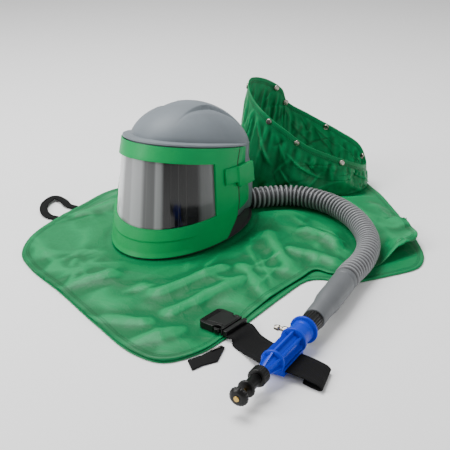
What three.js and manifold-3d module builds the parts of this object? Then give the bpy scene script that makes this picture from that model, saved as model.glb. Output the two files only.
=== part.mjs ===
// Sandblasting hood laid out on a flat surface: a helmet with a hinged visor, a two-layer cape with a
// standing gathered collar, a breathing tube, a flow valve and a waist belt with its buckle.
// Millimetres, +Z up. The helmet is modelled facing -Y in its own group, then leaned back and turned.
import * as THREE from 'three';
import { mergeVertices } from 'three/addons/utils/BufferGeometryUtils.js';
import Module from 'manifold-3d';

const wasm = await Module();
wasm.setup();

// Clearances
const SEAT = 0.3;
const TURNED_SIDES = 20;

// The cape as it lies; what stands or lies on it is placed by shares of its width and length.
const CAPE_WIDTH = 650;
const CAPE_LENGTH = 740;
const CAPE_LEFT = -0.5077 * CAPE_WIDTH;
const CAPE_FRONT = -0.61486 * CAPE_LENGTH;

// Helmet, in its own upright frame
const HELMET_HALF_WIDTH = 107;
const HELMET_FRONT = 157;
const HELMET_REAR = 157;
const VISOR_HEIGHT = 182;
const DOME_HEIGHT = 44;
const SHELL_WALL = 3;
const VISOR_WALL = 4;
const LENS_WALL = 2;
const SHELL_INSET = 8;
const REAR_INSET = 1.5;
const LEDGE_CLEARANCE = 1.6;
const LEDGE_THICKNESS = 2.6;
const DOME_STEP = 1;
const LEDGE_UNDERSIDE = 0.4;
const RIM_BAND = 24;
const RIM_WALL = 3;
const RIM_INSET = 6;
const RIM_BEAD = 1.4;
const HELMET_LEAN = 6;
const HELMET_TURN = -27.4;
const HELMET_X = CAPE_LEFT + 0.3977 * CAPE_WIDTH;
const HELMET_Y = CAPE_FRONT + 0.60541 * CAPE_LENGTH;

// Visor door, its fixed side strips, hinge and latch (angles from straight ahead, in degrees)
const WINDOW_ANGLE = 64;
const LENS_ANGLE = 66;
const LENS_LAP = 0.06;
const LENS_SEAT = 0.5;
const WINDOW_CELLS = 16;
const SHELL_WINDOW_ANGLE = 60;
const DOOR_GAP_ANGLE = 1.3;
const STRIP_END_ANGLE = 103;
const STRIP_CLEAR_ANGLE = 3;
const SHELL_BLEND_ANGLE = 6;
const STRIP_BOTTOM_LEVEL = 0.72;
const HINGE_RADIUS = 3.5;
const HINGE_LEAF = 15;
const HINGE_LEAF_WALL = 2;
const HINGE_BOTTOM = 64;
const HINGE_BARREL = 8;
const LATCH_BOTTOM = 104;
const LATCH_HEIGHT = 34;
const LATCH_PLATE_HEIGHT = 26;
const LATCH_FRONT = -45;
const LATCH_STEP = -13;
const LATCH_REAR = 41;
const LATCH_PLATE = 3.4;
const LATCH_BLOCK = 6.4;

// Air inlet on the helmet's rear, at the wearer's left
const INLET_RADIUS = 17;
const INLET_BORE = 13;
const INLET_LENGTH = 30;
const INLET_TURN = 16.4;

// Cloth and webbing
const CLOTH = 1.5;
const WEBBING = 2;

// Cape, as it lies
const LAYER_GAP = 0.3;
const NECK_HOLE_INSET = 7;
const CAPE_COLUMNS = 60;
const CAPE_LOWER_RINGS = 1;
const CAPE_UPPER_RINGS = 9;

// How far the cape lies flat round what rests on it: flat up to the first value, free past the run.
const FLAT_HELMET = { share: 1.08, run: 0.3 };
const FLAT_COLLAR = { share: 1.2, run: 0.3 };
const FLAT_TUBE = { clear: 4, run: 25 };
const FLAT_BUCKLE = { clear: 75, run: 30 };

// Collar, standing on the cape's neck hole
const COLLAR_X = CAPE_LEFT + 0.7277 * CAPE_WIDTH;
const COLLAR_Y = CAPE_FRONT + 0.87162 * CAPE_LENGTH;
const COLLAR_WIDTH = 256;
const COLLAR_DEPTH = 140;
const COLLAR_HEIGHT = 205;
const COLLAR_BAND = 12;
const COLLAR_COLUMNS = 54;
const COLLAR_DROPS = [0, 0.09, 0.24, 0.42, 0.62, 0.82, 1];
const GATHER_COUNT = 18;
const GATHER_DEPTH = 2.2;
const GATHER_ONSET = 6;
const GATHER_REACH = { drop: 0.25, decay: 4 };
const SNAP_RADIUS = 6;
const SNAP_HEIGHT = 2.6;
const SNAP_DROP = 0.6;
const SNAP_SPAN = 3;
const SNAP_SWEEP = 16;
const SNAP_SWEEP_DROP = 0.4;
const SNAP_FACE_SHARE = 0.8;

// Breathing tube and its cuff
const TUBE_DIAMETER = 38;
const TUBE_SIDES = 8;
const TUBE_STEPS = 24;
const CUFF_LENGTH = 134;
const CUFF_TURN = 154.7;
const CUFF_RADIUS = 18.2;
const CUFF_END_RADIUS = 15.6;
const CUFF_BORE = 13.4;
const CUFF_GAP = 1.5;
const CUFF_SHARES = { bore: 0.6, wideEnd: 0.42, narrowStart: 0.26, boreStart: 0.3 };

// Flow valve: stations along its axis from the hose end towards the knob
const VALVE_X = CAPE_LEFT + 0.66924 * CAPE_WIDTH;
const VALVE_Y = CAPE_FRONT + 0.06311 * CAPE_LENGTH;
const VALVE_Z = 24;
const VALVE_TURN = 150.7;
const NECK_RADIUS = 12;
const NUT_RADIUS = 14.6;
const NUT_START = -28.5;
const NECK_INSERT = 8;
const FLANGE_RADIUS = 19.8;
const BODY_RADIUS = 15.3;
const RING_RADIUS = 18.2;
const RING_START = 31;
const TAIL_RING_RADIUS = 16.2;
const TAIL_RING_START = 91;
const RING_WIDTH = 5;
const CORE_RADIUS = 10;
const FLANGE_THICKNESS = 4;
const SLOT_MARGIN = 2;
const FIN_COUNT = 5;
const FIN_FIRST_ANGLE = -18;
const FIN_STEP_ANGLE = 54;
const FIN_WALL = 2.6;
const CONE_END = 123;
const CONE_END_RADIUS = 6.6;
const VALVE_COLLAR_RADIUS = 12.2;
const VALVE_COLLAR_LENGTH = 15;
const BONNET_RADIUS = 7.8;
const BONNET_LENGTH = 22;
const BONNET_FLANGE_RADIUS = 11.3;
const BONNET_FLANGE = 5;
const STEM_RADIUS = 2.4;
const STEM_LENGTH = 7;
const KNOB_RADIUS = 12.5;
const KNOB_LENGTH = 14;
const NIPPLE_RADIUS = 4.4;
const NIPPLE_REACH = 37;
const NIPPLE_STATION = 14;

// Belt, its buckle and the belt housing under the valve
const BELT_WIDTH = 48;
const BELT_LEAD = [1, 10];
const BELT_LEAD_HEIGHT = 2.4;
const HOUSING_WALL = 3;
const HOUSING_REACH = 15;
const SLOT_HEIGHT = 4.4;
const SLOT_FLOOR = 8.6;
const BUCKLE_X = CAPE_LEFT + 0.50309 * CAPE_WIDTH;
const BUCKLE_Y = CAPE_FRONT + 0.12432 * CAPE_LENGTH;
const BUCKLE_TURN = -38;
const BUCKLE_LENGTH = 47;
const BUCKLE_WIDTH = 50;
const BUCKLE_HEIGHT = 11;
const BUCKLE_CHAMFER = 2;
const PRONG_CHAMFER = 2.5;
const PRONG_SHOULDER = 4;
const PRONG_WIDTH = 6;
const PRONG_LENGTH = 14;
const TONGUE_BAR = 9;

// Loops on the cape's hem
const LOOP_WIDTH = 14;
const TAB_WIDTH = 40;
const TAB_PLACE = { across: 0.4677, away: 0.0474 };
const TAB_TURN = 40;
const SLIDE_WIRE = 2.4;
const SLIDE_LENGTH = 18;
const SLIDE_PLACE = { x: 0.25, y: -0.29 };

// Levels of the visor's outer face. height and the two rises are shares of VISOR_HEIGHT, side and
// front are shares of HELMET_HALF_WIDTH and HELMET_FRONT, rear of HELMET_REAR. The height at an angle
// is height + rise (1 - cos) + bend (1 - cos) squared. edge is the visor's rear edge, in degrees.
const LEVELS = [
  { height: 0.014, rise: 0.146, bend: -0.025, side: 0.99, front: 1.01, rear: 1.0, edge: 76.5 },
  { height: 0.257, rise: 0.162, bend: 0.022, side: 1.0, front: 0.936, rear: 0.945, edge: 86.5 },
  { height: 0.875, rise: -0.094, bend: 0.003, side: 0.91, front: 0.92, rear: 0.9, edge: 88.5 },
  { height: 1.0, rise: -0.065, bend: -0.019, side: 0.911, front: 0.868, rear: 0.885, edge: 91 },
];
const RIM_LEVEL = { height: 0.001, rise: 0.1555, bend: -0.033, side: 1.0, front: 1.0, rear: 1.0 };
const BAND_TOP_LEVEL = 0.5;
const EDGE_KNEE = { level: 0.56, angle: 86 };

// Dome rows: radius as a share of the dome's foot, height as a share of DOME_HEIGHT.
const DOME_FOOT = { side: 0.76, front: 0.77, rear: 0.86 };
const DOME_ROWS = [
  { radius: 0.975, height: 0.16 },
  { radius: 0.9, height: 0.39 },
  { radius: 0.77, height: 0.62 },
  { radius: 0.58, height: 0.81 },
  { radius: 0.33, height: 0.945 },
  { radius: 0, height: 1 },
];
// Scoops beside the crown band, mirrored left and right: place and reach as shares of the dome's foot,
// depth as a share of SHELL_WALL.
const SCOOPS = [
  { across: 0.45, along: -0.25, reach: 0.15, run: 0.34, depth: 0.7 },
  { across: 0.58, along: 0.05, reach: 0.17, run: 0.24, depth: 1.4 },
];

// Cape outlines: shares of CAPE_WIDTH from the left and of CAPE_LENGTH from the front, going round
// from the right edge by the collar through the front to the left and back behind the collar.
const UPPER_OUTLINE = [
  { across: 0.94, away: 0.855 }, { across: 0.965, away: 0.76 }, { across: 0.985, away: 0.63 },
  { across: 0.993, away: 0.53 }, { across: 0.988, away: 0.475 }, { across: 0.93, away: 0.428 },
  { across: 0.855, away: 0.372 }, { across: 0.765, away: 0.343 }, { across: 0.725, away: 0.362 },
  { across: 0.685, away: 0.322 }, { across: 0.62, away: 0.25 }, { across: 0.565, away: 0.176 },
  { across: 0.515, away: 0.1 }, { across: 0.455, away: 0.032 }, { across: 0.385, away: 0.001 },
  { across: 0.325, away: 0.03 }, { across: 0.235, away: 0.134 }, { across: 0.13, away: 0.27 },
  { across: 0.045, away: 0.37 }, { across: 0.004, away: 0.45 }, { across: 0.008, away: 0.535 },
  { across: 0.048, away: 0.635 }, { across: 0.11, away: 0.735 }, { across: 0.18, away: 0.83 },
  { across: 0.3, away: 0.9 }, { across: 0.45, away: 0.95 }, { across: 0.62, away: 0.992 },
  { across: 0.78, away: 1.0 }, { across: 0.89, away: 0.955 },
];
const LOWER_OUTLINE = [
  { across: 0.945, away: 0.85 }, { across: 0.97, away: 0.75 }, { across: 0.99, away: 0.62 },
  { across: 1.0, away: 0.52 }, { across: 1.0, away: 0.44 }, { across: 0.985, away: 0.395 },
  { across: 0.965, away: 0.372 }, { across: 0.89, away: 0.338 }, { across: 0.83, away: 0.315 },
  { across: 0.785, away: 0.302 }, { across: 0.745, away: 0.322 }, { across: 0.705, away: 0.32 },
  { across: 0.64, away: 0.25 }, { across: 0.58, away: 0.172 }, { across: 0.525, away: 0.092 },
  { across: 0.46, away: 0.026 }, { across: 0.385, away: -0.002 }, { across: 0.315, away: 0.03 },
  { across: 0.225, away: 0.135 }, { across: 0.12, away: 0.272 }, { across: 0.038, away: 0.372 },
  { across: 0.0, away: 0.45 }, { across: 0.006, away: 0.54 }, { across: 0.045, away: 0.64 },
  { across: 0.108, away: 0.742 }, { across: 0.18, away: 0.838 }, { across: 0.3, away: 0.91 },
  { across: 0.45, away: 0.96 }, { across: 0.62, away: 1.0 }, { across: 0.78, away: 1.007 },
  { across: 0.9, away: 0.96 },
];

// Folds of the upper layer: a ridge from one place to another, in shares of the cape's width and
// length, its half width as a share of the width and its height in shares of FOLD_HEIGHT.
const FOLD_HEIGHT = 11;
const FOLD_SPREAD = 1.4;
const FOLDS = [
  { across: 0.12, away: 0.5, across2: 0.02, away2: 0.4, spread: 0.03, height: 0.5 },
  { across: 0.11, away: 0.66, across2: 0.2, away2: 0.72, spread: 0.028, height: 0.55 },
  { across: 0.11, away: 0.26, across2: 0.24, away2: 0.33, spread: 0.024, height: 0.6 },
  { across: 0.19, away: 0.15, across2: 0.33, away2: 0.13, spread: 0.022, height: 0.65 },
  { across: 0.33, away: 0.06, across2: 0.45, away2: 0.12, spread: 0.022, height: 0.5 },
  { across: 0.36, away: 0.25, across2: 0.5, away2: 0.36, spread: 0.026, height: 0.75 },
  { across: 0.39, away: 0.17, across2: 0.55, away2: 0.31, spread: 0.024, height: 0.6 },
  { across: 0.55, away: 0.37, across2: 0.6, away2: 0.24, spread: 0.022, height: 0.6 },
  { across: 0.62, away: 0.53, across2: 0.66, away2: 0.35, spread: 0.03, height: 0.6 },
  { across: 0.72, away: 0.55, across2: 0.79, away2: 0.48, spread: 0.024, height: 0.7 },
  { across: 0.67, away: 0.45, across2: 0.78, away2: 0.385, spread: 0.022, height: 0.6 },
  { across: 0.93, away: 0.7, across2: 0.97, away2: 0.57, spread: 0.03, height: 0.55 },
  { across: 0.9, away: 0.43, across2: 1.0, away2: 0.5, spread: 0.05, height: 1.25 },
];

// Collar: angle round it from its right end through the back, the rim's place across and along as
// shares of half COLLAR_WIDTH and COLLAR_DEPTH, its height as a share of COLLAR_HEIGHT.
const COLLAR_RIM = [
  { angle: 0, across: 0.985, along: 0.07, height: 0.25 },
  { angle: 26, across: 0.9, along: 0.42, height: 0.37 },
  { angle: 52, across: 0.6, along: 0.78, height: 0.47 },
  { angle: 76, across: 0.16, along: 0.97, height: 0.61 },
  { angle: 100, across: -0.18, along: 0.93, height: 0.74 },
  { angle: 118, across: -0.26, along: 0.87, height: 0.86 },
  { angle: 140, across: -0.46, along: 0.76, height: 0.955 },
  { angle: 162, across: -0.7, along: 0.42, height: 1.01 },
  { angle: 180, across: -0.775, along: 0.0, height: 0.99 },
  { angle: 200, across: -0.71, along: -0.36, height: 0.88 },
  { angle: 222, across: -0.5, along: -0.72, height: 0.755 },
  { angle: 244, across: -0.24, along: -0.9, height: 0.64 },
  { angle: 262, across: 0.04, along: -0.97, height: 0.515 },
  { angle: 284, across: 0.36, along: -0.92, height: 0.425 },
  { angle: 308, across: 0.66, along: -0.76, height: 0.345 },
  { angle: 334, across: 0.9, along: -0.45, height: 0.27 },
];
// Crumples of the collar's wall: angle round it, height up the wall (0 to 1), the spread of each and
// the push outwards as a share of CRUMPLE_DEPTH.
const CRUMPLE_DEPTH = 9;
const CRUMPLES = [
  { angle: 352, up: 0.35, turn: 16, rise: 0.25, push: 1.3 },
  { angle: 325, up: 0.55, turn: 9, rise: 0.3, push: -0.9 },
  { angle: 305, up: 0.35, turn: 10, rise: 0.3, push: 0.9 },
  { angle: 284, up: 0.45, turn: 9, rise: 0.3, push: -0.8 },
  { angle: 262, up: 0.3, turn: 9, rise: 0.3, push: 1.0 },
  { angle: 243, up: 0.45, turn: 8, rise: 0.3, push: -0.7 },
  { angle: 222, up: 0.3, turn: 10, rise: 0.3, push: 0.8 },
  { angle: 196, up: 0.4, turn: 14, rise: 0.35, push: 0.6 },
  { angle: 120, up: 0.4, turn: 14, rise: 0.35, push: -0.6 },
  { angle: 70, up: 0.35, turn: 16, rise: 0.35, push: 0.7 },
];
// Snaps round the collar's rim: their angle, and the face they show on (1 outside, -1 inside).
const SNAPS = [
  { angle: 178, face: 1 }, { angle: 224, face: 1 }, { angle: 254, face: 1 }, { angle: 300, face: 1 },
  { angle: 128, face: -1 }, { angle: 104, face: -1 }, { angle: 62, face: -1 }, { angle: 14, face: -1 },
];

// The tube's route from the inlet to the cuff, chosen by hand: how far off its middle line lies, in
// shares of HELMET_HALF_WIDTH, from points spaced evenly between the helmet and the valve.
const TUBE_OFFSETS = [
  [1.2103, 0.7523], [1.3485, 1.0242], [1.4289, 1.2597], [1.5120, 1.4737],
  [1.5914, 1.6372], [1.6633, 1.7596], [1.7212, 1.8530], [1.7632, 1.9221],
  [1.8043, 1.9426], [1.8173, 1.9379], [1.8154, 1.9013], [1.7807, 1.8508],
  [1.7199, 1.8040], [1.6367, 1.7535], [1.5310, 1.7722], [1.4086, 1.7983],
  [1.2674, 1.8244], [1.1150, 1.8608], [0.9299, 1.8673],
];
const TUBE_ROUTE = TUBE_OFFSETS.map(([x, y], index) => {
  const share = index / (TUBE_OFFSETS.length - 1);
  return [
    HELMET_X + (VALVE_X - HELMET_X) * share + x * HELMET_HALF_WIDTH,
    HELMET_Y + (VALVE_Y - HELMET_Y) * share + y * HELMET_HALF_WIDTH,
  ];
});

// The belt's run, in the valve's own frame turned level: reach from the valve's axis (towards the
// buckle is positive), drift along the axis, height and heading. Lengths are shares of BELT_WIDTH.
const BELT_RUN = [
  { reach: 1.5, drift: -0.75, height: 0.035, heading: 22 },
  { reach: 1.1, drift: -0.53, height: 0.04, heading: 26 },
  { reach: 0.8, drift: -0.35, height: 0.1, heading: 24 },
  { reach: 0.57, drift: -0.16, height: 0.19, heading: 14 },
  { reach: 0.42, drift: -0.05, height: 0.222, heading: 5 },
  { reach: 0.33, drift: 0, height: 0.225, heading: 0 },
  { reach: -0.3, drift: 0, height: 0.225, heading: 0 },
  { reach: -0.62, drift: 0.02, height: 0.215, heading: -4 },
  { reach: -0.95, drift: 0.07, height: 0.2, heading: -8 },
  { reach: -1.2, drift: 0.13, height: 0.185, heading: -10 },
  { reach: -1.29, drift: 0.15, height: 0.15, heading: -11 },
  { reach: -1.31, drift: 0.15, height: 0.1, heading: -11 },
  { reach: -1.25, drift: 0.14, height: 0.05, heading: -11 },
  { reach: -1.1, drift: 0.1, height: 0.03, heading: -11 },
  { reach: -0.7, drift: 0.0, height: 0.028, heading: -11 },
];

// Loop at the cape's left hem and tab at its front hem: shares of CAPE_WIDTH and CAPE_LENGTH, height
// above the floor in webbing thicknesses.
const LEFT_LOOP = [
  { across: 0.0499, away: 0.6511, height: 1.0 }, { across: 0.028, away: 0.66, height: 1.2 },
  { across: 0.008, away: 0.69, height: 2.0 }, { across: 0.004, away: 0.74, height: 2.6 },
  { across: 0.022, away: 0.775, height: 2.8 }, { across: 0.05, away: 0.755, height: 2.2 },
  { across: 0.069, away: 0.728, height: 1.4 }, { across: 0.0909, away: 0.7181, height: 1.0 },
];

// The hem tab's outline, in shares of TAB_WIDTH.
const TAB_OUTLINE = [
  [-0.9, -0.2], [-0.35, -0.26], [0.5, -0.17], [0.55, -0.35], [-0.19, -0.87], [-0.72, -0.75], [-1.15, -0.76],
];

const HALF_PI = Math.PI / 2;
const CAPE_UNDER = CLOTH + LAYER_GAP;
const CAPE_TOP = CAPE_UNDER + CLOTH;
const TUBE_RADIUS = TUBE_DIAMETER / 2;
const TUBE_Z = CAPE_TOP + SEAT + TUBE_RADIUS;
const rad = THREE.MathUtils.degToRad;
const mix = THREE.MathUtils.lerp;
const clamp = THREE.MathUtils.clamp;

function finish(color, roughness, metalness = 0) {
  return new THREE.MeshStandardMaterial({ color, roughness, metalness });
}

const FINISH = {
  visor: finish(0x00ad5c, 0.35),
  shell: finish(0x969ea5, 0.4),
  rim: finish(0x3c3c3e, 0.7),
  lens: finish(0x2a2c30, 0.05, 0.3),
  cloth: finish(0x1f9a5c, 0.6),
  tube: finish(0x96969b, 0.5),
  cuff: finish(0x73767a, 0.6),
  blue: finish(0x1450dc, 0.35),
  black: finish(0x1b1b1c, 0.4),
  webbing: finish(0x141414, 0.85),
  nickel: finish(0xb9b2a6, 0.25, 1),
  brass: finish(0xb99a3f, 0.3, 1),
};

// A closed geometry from triangles given as points; near-equal points become one vertex.
function closedGeometry(triangles) {
  const positions = [];
  const lookup = new Map();
  const index = [];
  const vertexOf = (p) => {
    const key = [p.x, p.y, p.z].map((value) => Math.round(value * 1e4)).join(',');
    if (!lookup.has(key)) {
      lookup.set(key, positions.length / 3);
      positions.push(p.x, p.y, p.z);
    }
    return lookup.get(key);
  };
  let volume = 0;
  for (const [a, b, c] of triangles) {
    const corners = [vertexOf(a), vertexOf(b), vertexOf(c)];
    if (new Set(corners).size < 3) continue;
    index.push(...corners);
    volume += a.dot(new THREE.Vector3().crossVectors(b, c));
  }
  if (volume < 0) index.reverse();
  const geometry = new THREE.BufferGeometry();
  geometry.setAttribute('position', new THREE.Float32BufferAttribute(positions, 3));
  geometry.setIndex(index);
  return geometry;
}

// A wall between two grids of points, side 0 and side 1, closed along every border of the kept cells.
function wallGeometry({ columns, rows, closed = false, point, keep = () => true }) {
  const triangles = [];
  const corner = (column, row, side) => point(closed ? column % columns : column, row, side);
  const quad = (a, b, c, d) => triangles.push([a, b, c], [a, c, d]);
  const kept = (column, row) => {
    if (row < 0 || row >= rows) return false;
    if (closed) return keep((column + columns) % columns, row);
    return column >= 0 && column < columns && keep(column, row);
  };
  for (let column = 0; column < columns; column += 1) {
    for (let row = 0; row < rows; row += 1) {
      if (!kept(column, row)) continue;
      const at = (right, up, side) => corner(column + right, row + up, side);
      quad(at(0, 0, 0), at(1, 0, 0), at(1, 1, 0), at(0, 1, 0));
      quad(at(0, 0, 1), at(0, 1, 1), at(1, 1, 1), at(1, 0, 1));
      if (!kept(column, row - 1)) quad(at(0, 0, 0), at(0, 0, 1), at(1, 0, 1), at(1, 0, 0));
      if (!kept(column, row + 1)) quad(at(0, 1, 0), at(1, 1, 0), at(1, 1, 1), at(0, 1, 1));
      if (!kept(column - 1, row)) quad(at(0, 0, 0), at(0, 1, 0), at(0, 1, 1), at(0, 0, 1));
      if (!kept(column + 1, row)) quad(at(1, 0, 0), at(1, 0, 1), at(1, 1, 1), at(1, 1, 0));
    }
  }
  return closedGeometry(triangles);
}

function toSolid(geometry) {
  const bare = geometry.clone();
  bare.deleteAttribute('normal');
  bare.deleteAttribute('uv');
  const merged = mergeVertices(bare, 1e-3);
  return new wasm.Manifold(new wasm.Mesh({
    numProp: 3,
    vertProperties: new Float32Array(merged.attributes.position.array),
    triVerts: new Uint32Array(merged.index.array),
  }));
}

function fromSolid(solid) {
  const mesh = solid.getMesh();
  const geometry = new THREE.BufferGeometry();
  geometry.setAttribute('position', new THREE.BufferAttribute(mesh.vertProperties, 3));
  geometry.setIndex(new THREE.BufferAttribute(mesh.triVerts, 1));
  return geometry;
}

function named(name, geometry, material) {
  const mesh = new THREE.Mesh(geometry, material);
  mesh.name = name;
  return mesh;
}

function box(width, depth, height, x, y, z) {
  return new THREE.BoxGeometry(width, depth, height).translate(x, y, z);
}

// A turned piece round +Y: stations are [radius, distance along the axis] pairs, closed on the axis or
// on themselves.
function turned(stations, sides = TURNED_SIDES) {
  const profile = stations.map(([radius, along]) => new THREE.Vector2(radius, along));
  const lathe = new THREE.LatheGeometry(profile, sides);
  const position = lathe.attributes.position;
  const corner = (index) => new THREE.Vector3().fromBufferAttribute(position, lathe.index.getX(index));
  const triangles = [];
  for (let first = 0; first < lathe.index.count; first += 3) {
    triangles.push([corner(first), corner(first + 1), corner(first + 2)]);
  }
  return closedGeometry(triangles);
}

// Height of a level at an angle round the helmet.
function levelHeight(level, angle) {
  const lift = 1 - Math.cos(angle);
  return VISOR_HEIGHT * (level.height + level.rise * lift + level.bend * lift * lift);
}

function helmetPoint(level, angle, inset, height = levelHeight(level, angle)) {
  const side = HELMET_HALF_WIDTH * level.side - inset;
  const ahead = Math.cos(angle) >= 0;
  const reach = (ahead ? HELMET_FRONT * level.front : HELMET_REAR * level.rear) - inset;
  return new THREE.Vector3(side * Math.sin(angle), -reach * Math.cos(angle), height);
}

// A level between two rows of LEVELS: 1.5 is half way from the second to the third.
function levelAt(position) {
  const lower = Math.min(Math.floor(position), LEVELS.length - 2);
  const share = position - lower;
  const level = {};
  for (const key of Object.keys(LEVELS[0])) {
    level[key] = mix(LEVELS[lower][key], LEVELS[lower + 1][key], share);
  }
  return level;
}

function rearEdge(position) {
  if (position > 1) return levelAt(position).edge;
  if (position < EDGE_KNEE.level) return mix(LEVELS[0].edge, EDGE_KNEE.angle, position / EDGE_KNEE.level);
  return mix(EDGE_KNEE.angle, LEVELS[1].edge, (position - EDGE_KNEE.level) / (1 - EDGE_KNEE.level));
}

// Depth of the scoops at a place on the dome, in shares of its foot.
function scoopDepth(across, along) {
  let depth = 0;
  for (const scoop of SCOOPS) {
    const u = (Math.abs(across) - scoop.across) / scoop.reach;
    const v = (along - scoop.along) / scoop.run;
    depth += scoop.depth * SHELL_WALL * Math.exp(-u * u - v * v);
  }
  return depth;
}

function helmetShell() {
  const columns = 48;
  const angleOf = (column) => ((column / columns) * 2 - 1) * Math.PI;
  const walls = [1, 1.5, 2, 3];
  const top = LEVELS[3];
  const blend = (angle) => {
    const past = Math.abs(THREE.MathUtils.radToDeg(angle)) - STRIP_END_ANGLE - STRIP_CLEAR_ANGLE;
    return mix(SHELL_INSET, REAR_INSET, clamp(past / SHELL_BLEND_ANGLE, 0, 1));
  };
  const foot = (angle, share, side) => {
    const inset = side * SHELL_WALL;
    const reach = Math.cos(angle) >= 0 ? HELMET_FRONT * DOME_FOOT.front : HELMET_REAR * DOME_FOOT.rear;
    const across = share * Math.sin(angle);
    const along = -share * Math.cos(angle);
    const lift = share > 0.999 ? 0 : scoopDepth(across, along);
    return new THREE.Vector3(
      across * (HELMET_HALF_WIDTH * DOME_FOOT.side - inset), along * (reach - inset), -lift - inset);
  };
  const footHeight = (angle) => levelHeight(top, angle) + LEDGE_CLEARANCE + LEDGE_THICKNESS + DOME_STEP;
  const point = (column, row, side) => {
    const angle = angleOf(column);
    const inset = blend(angle) + side * SHELL_WALL;
    if (row === 0) {
      const height = levelHeight(RIM_LEVEL, angle) + RIM_BAND + SEAT;
      return helmetPoint(levelAt(BAND_TOP_LEVEL), angle, inset, height);
    }
    if (row <= walls.length) {
      const under = row === walls.length ? LEDGE_CLEARANCE : 0;
      const level = levelAt(walls[row - 1]);
      return helmetPoint(level, angle, inset, levelHeight(level, angle) + under);
    }
    const ledge = row - walls.length - 1;
    if (ledge < 2) {
      const rise = LEDGE_CLEARANCE + (side ? LEDGE_UNDERSIDE * (ledge + 1) : ledge * LEDGE_THICKNESS);
      const ledgeInset = side ? inset : REAR_INSET;
      return helmetPoint(top, angle, ledgeInset, levelHeight(top, angle) + rise);
    }
    if (ledge === 2) {
      const place = foot(angle, 1, side);
      place.z = footHeight(angle) - side * SHELL_WALL;
      return place;
    }
    const rowOf = DOME_ROWS[ledge - 3];
    const place = foot(angle, rowOf.radius, side);
    const flat = footHeight(rowOf.radius > 0 ? angle : HALF_PI);
    const level = mix(footHeight(0), flat, rowOf.radius > 0 ? rowOf.radius ** 2 : 0);
    place.z += level + DOME_HEIGHT * rowOf.height;
    return place;
  };
  const windowColumns = (column) => {
    const left = THREE.MathUtils.radToDeg(angleOf(column));
    return left >= -SHELL_WINDOW_ANGLE - 1e-6 && left < SHELL_WINDOW_ANGLE - 1e-6;
  };
  return wallGeometry({
    columns,
    rows: walls.length + 3 + DOME_ROWS.length,
    closed: true,
    point,
    keep: (column, row) => !(windowColumns(column) && row >= 1 && row < 3),
  });
}

// The dark band round the helmet's foot, with a bead under the visor's lower edge.
function neckRim() {
  const section = [
    [0, REAR_INSET], [RIM_BEAD, REAR_INSET], [RIM_BEAD, RIM_INSET], [RIM_BAND, RIM_INSET],
    [RIM_BAND, RIM_INSET + RIM_WALL], [0, RIM_INSET + RIM_WALL],
  ];
  const columns = 48;
  const triangles = [];
  const upper = levelAt(BAND_TOP_LEVEL);
  const at = (column, step) => {
    const angle = ((column % columns) / columns) * 2 * Math.PI;
    const [up, inset] = section[step % section.length];
    const share = up / RIM_BAND;
    const place = helmetPoint(RIM_LEVEL, angle, inset).lerp(helmetPoint(upper, angle, inset), share);
    place.z = levelHeight(RIM_LEVEL, angle) + up;
    return place;
  };
  for (let column = 0; column < columns; column += 1) {
    for (let step = 0; step < section.length; step += 1) {
      const start = at(column, step);
      const end = at(column + 1, step + 1);
      triangles.push([start, at(column + 1, step), end], [start, end, at(column, step + 1)]);
    }
  }
  return closedGeometry(triangles);
}

// The visor's frame: a curved panel with the window left open.
function visorFrame() {
  const rows = [0, EDGE_KNEE.level, 1, 1.5, 2, 3];
  const columns = WINDOW_CELLS + 4;
  const angleOf = (column, position) => {
    const edge = rearEdge(position);
    if (column < 2) return mix(-edge, -WINDOW_ANGLE, column / 2);
    if (column > columns - 2) return mix(edge, WINDOW_ANGLE, (columns - column) / 2);
    return mix(-WINDOW_ANGLE, WINDOW_ANGLE, (column - 2) / WINDOW_CELLS);
  };
  return wallGeometry({
    columns,
    rows: rows.length - 1,
    point: (column, row, side) => helmetPoint(
      levelAt(rows[row]), rad(angleOf(column, rows[row])), side * VISOR_WALL),
    keep: (column, row) => !(column >= 2 && column < columns - 2 && row >= 2 && row < 4),
  });
}

// The lens behind the frame, lapping the window all round.
function visorLens() {
  const rows = [1 - LENS_LAP, 1, 1.5, 2, 2 + LENS_LAP];
  const columns = WINDOW_CELLS + 2;
  const angleOf = (column) => {
    if (column === 0) return -LENS_ANGLE;
    if (column === columns) return LENS_ANGLE;
    return mix(-WINDOW_ANGLE, WINDOW_ANGLE, (column - 1) / WINDOW_CELLS);
  };
  return wallGeometry({
    columns,
    rows: rows.length - 1,
    point: (column, row, side) => helmetPoint(
      levelAt(rows[row]), rad(angleOf(column)), VISOR_WALL + LENS_SEAT + side * LENS_WALL),
  });
}

// A fixed strip behind the visor's rear edge; hand is 1 at the wearer's left and -1 at the right.
function sideStrip(hand) {
  const rows = [STRIP_BOTTOM_LEVEL, 1, 1.5, 2, 3];
  const columns = 2;
  return wallGeometry({
    columns,
    rows: rows.length - 1,
    point: (column, row, side) => {
      const angle = mix(rearEdge(rows[row]) + DOOR_GAP_ANGLE, STRIP_END_ANGLE, column / columns);
      return helmetPoint(levelAt(rows[row]), hand * rad(angle), side * (SHELL_INSET - SEAT));
    },
  });
}

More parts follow.
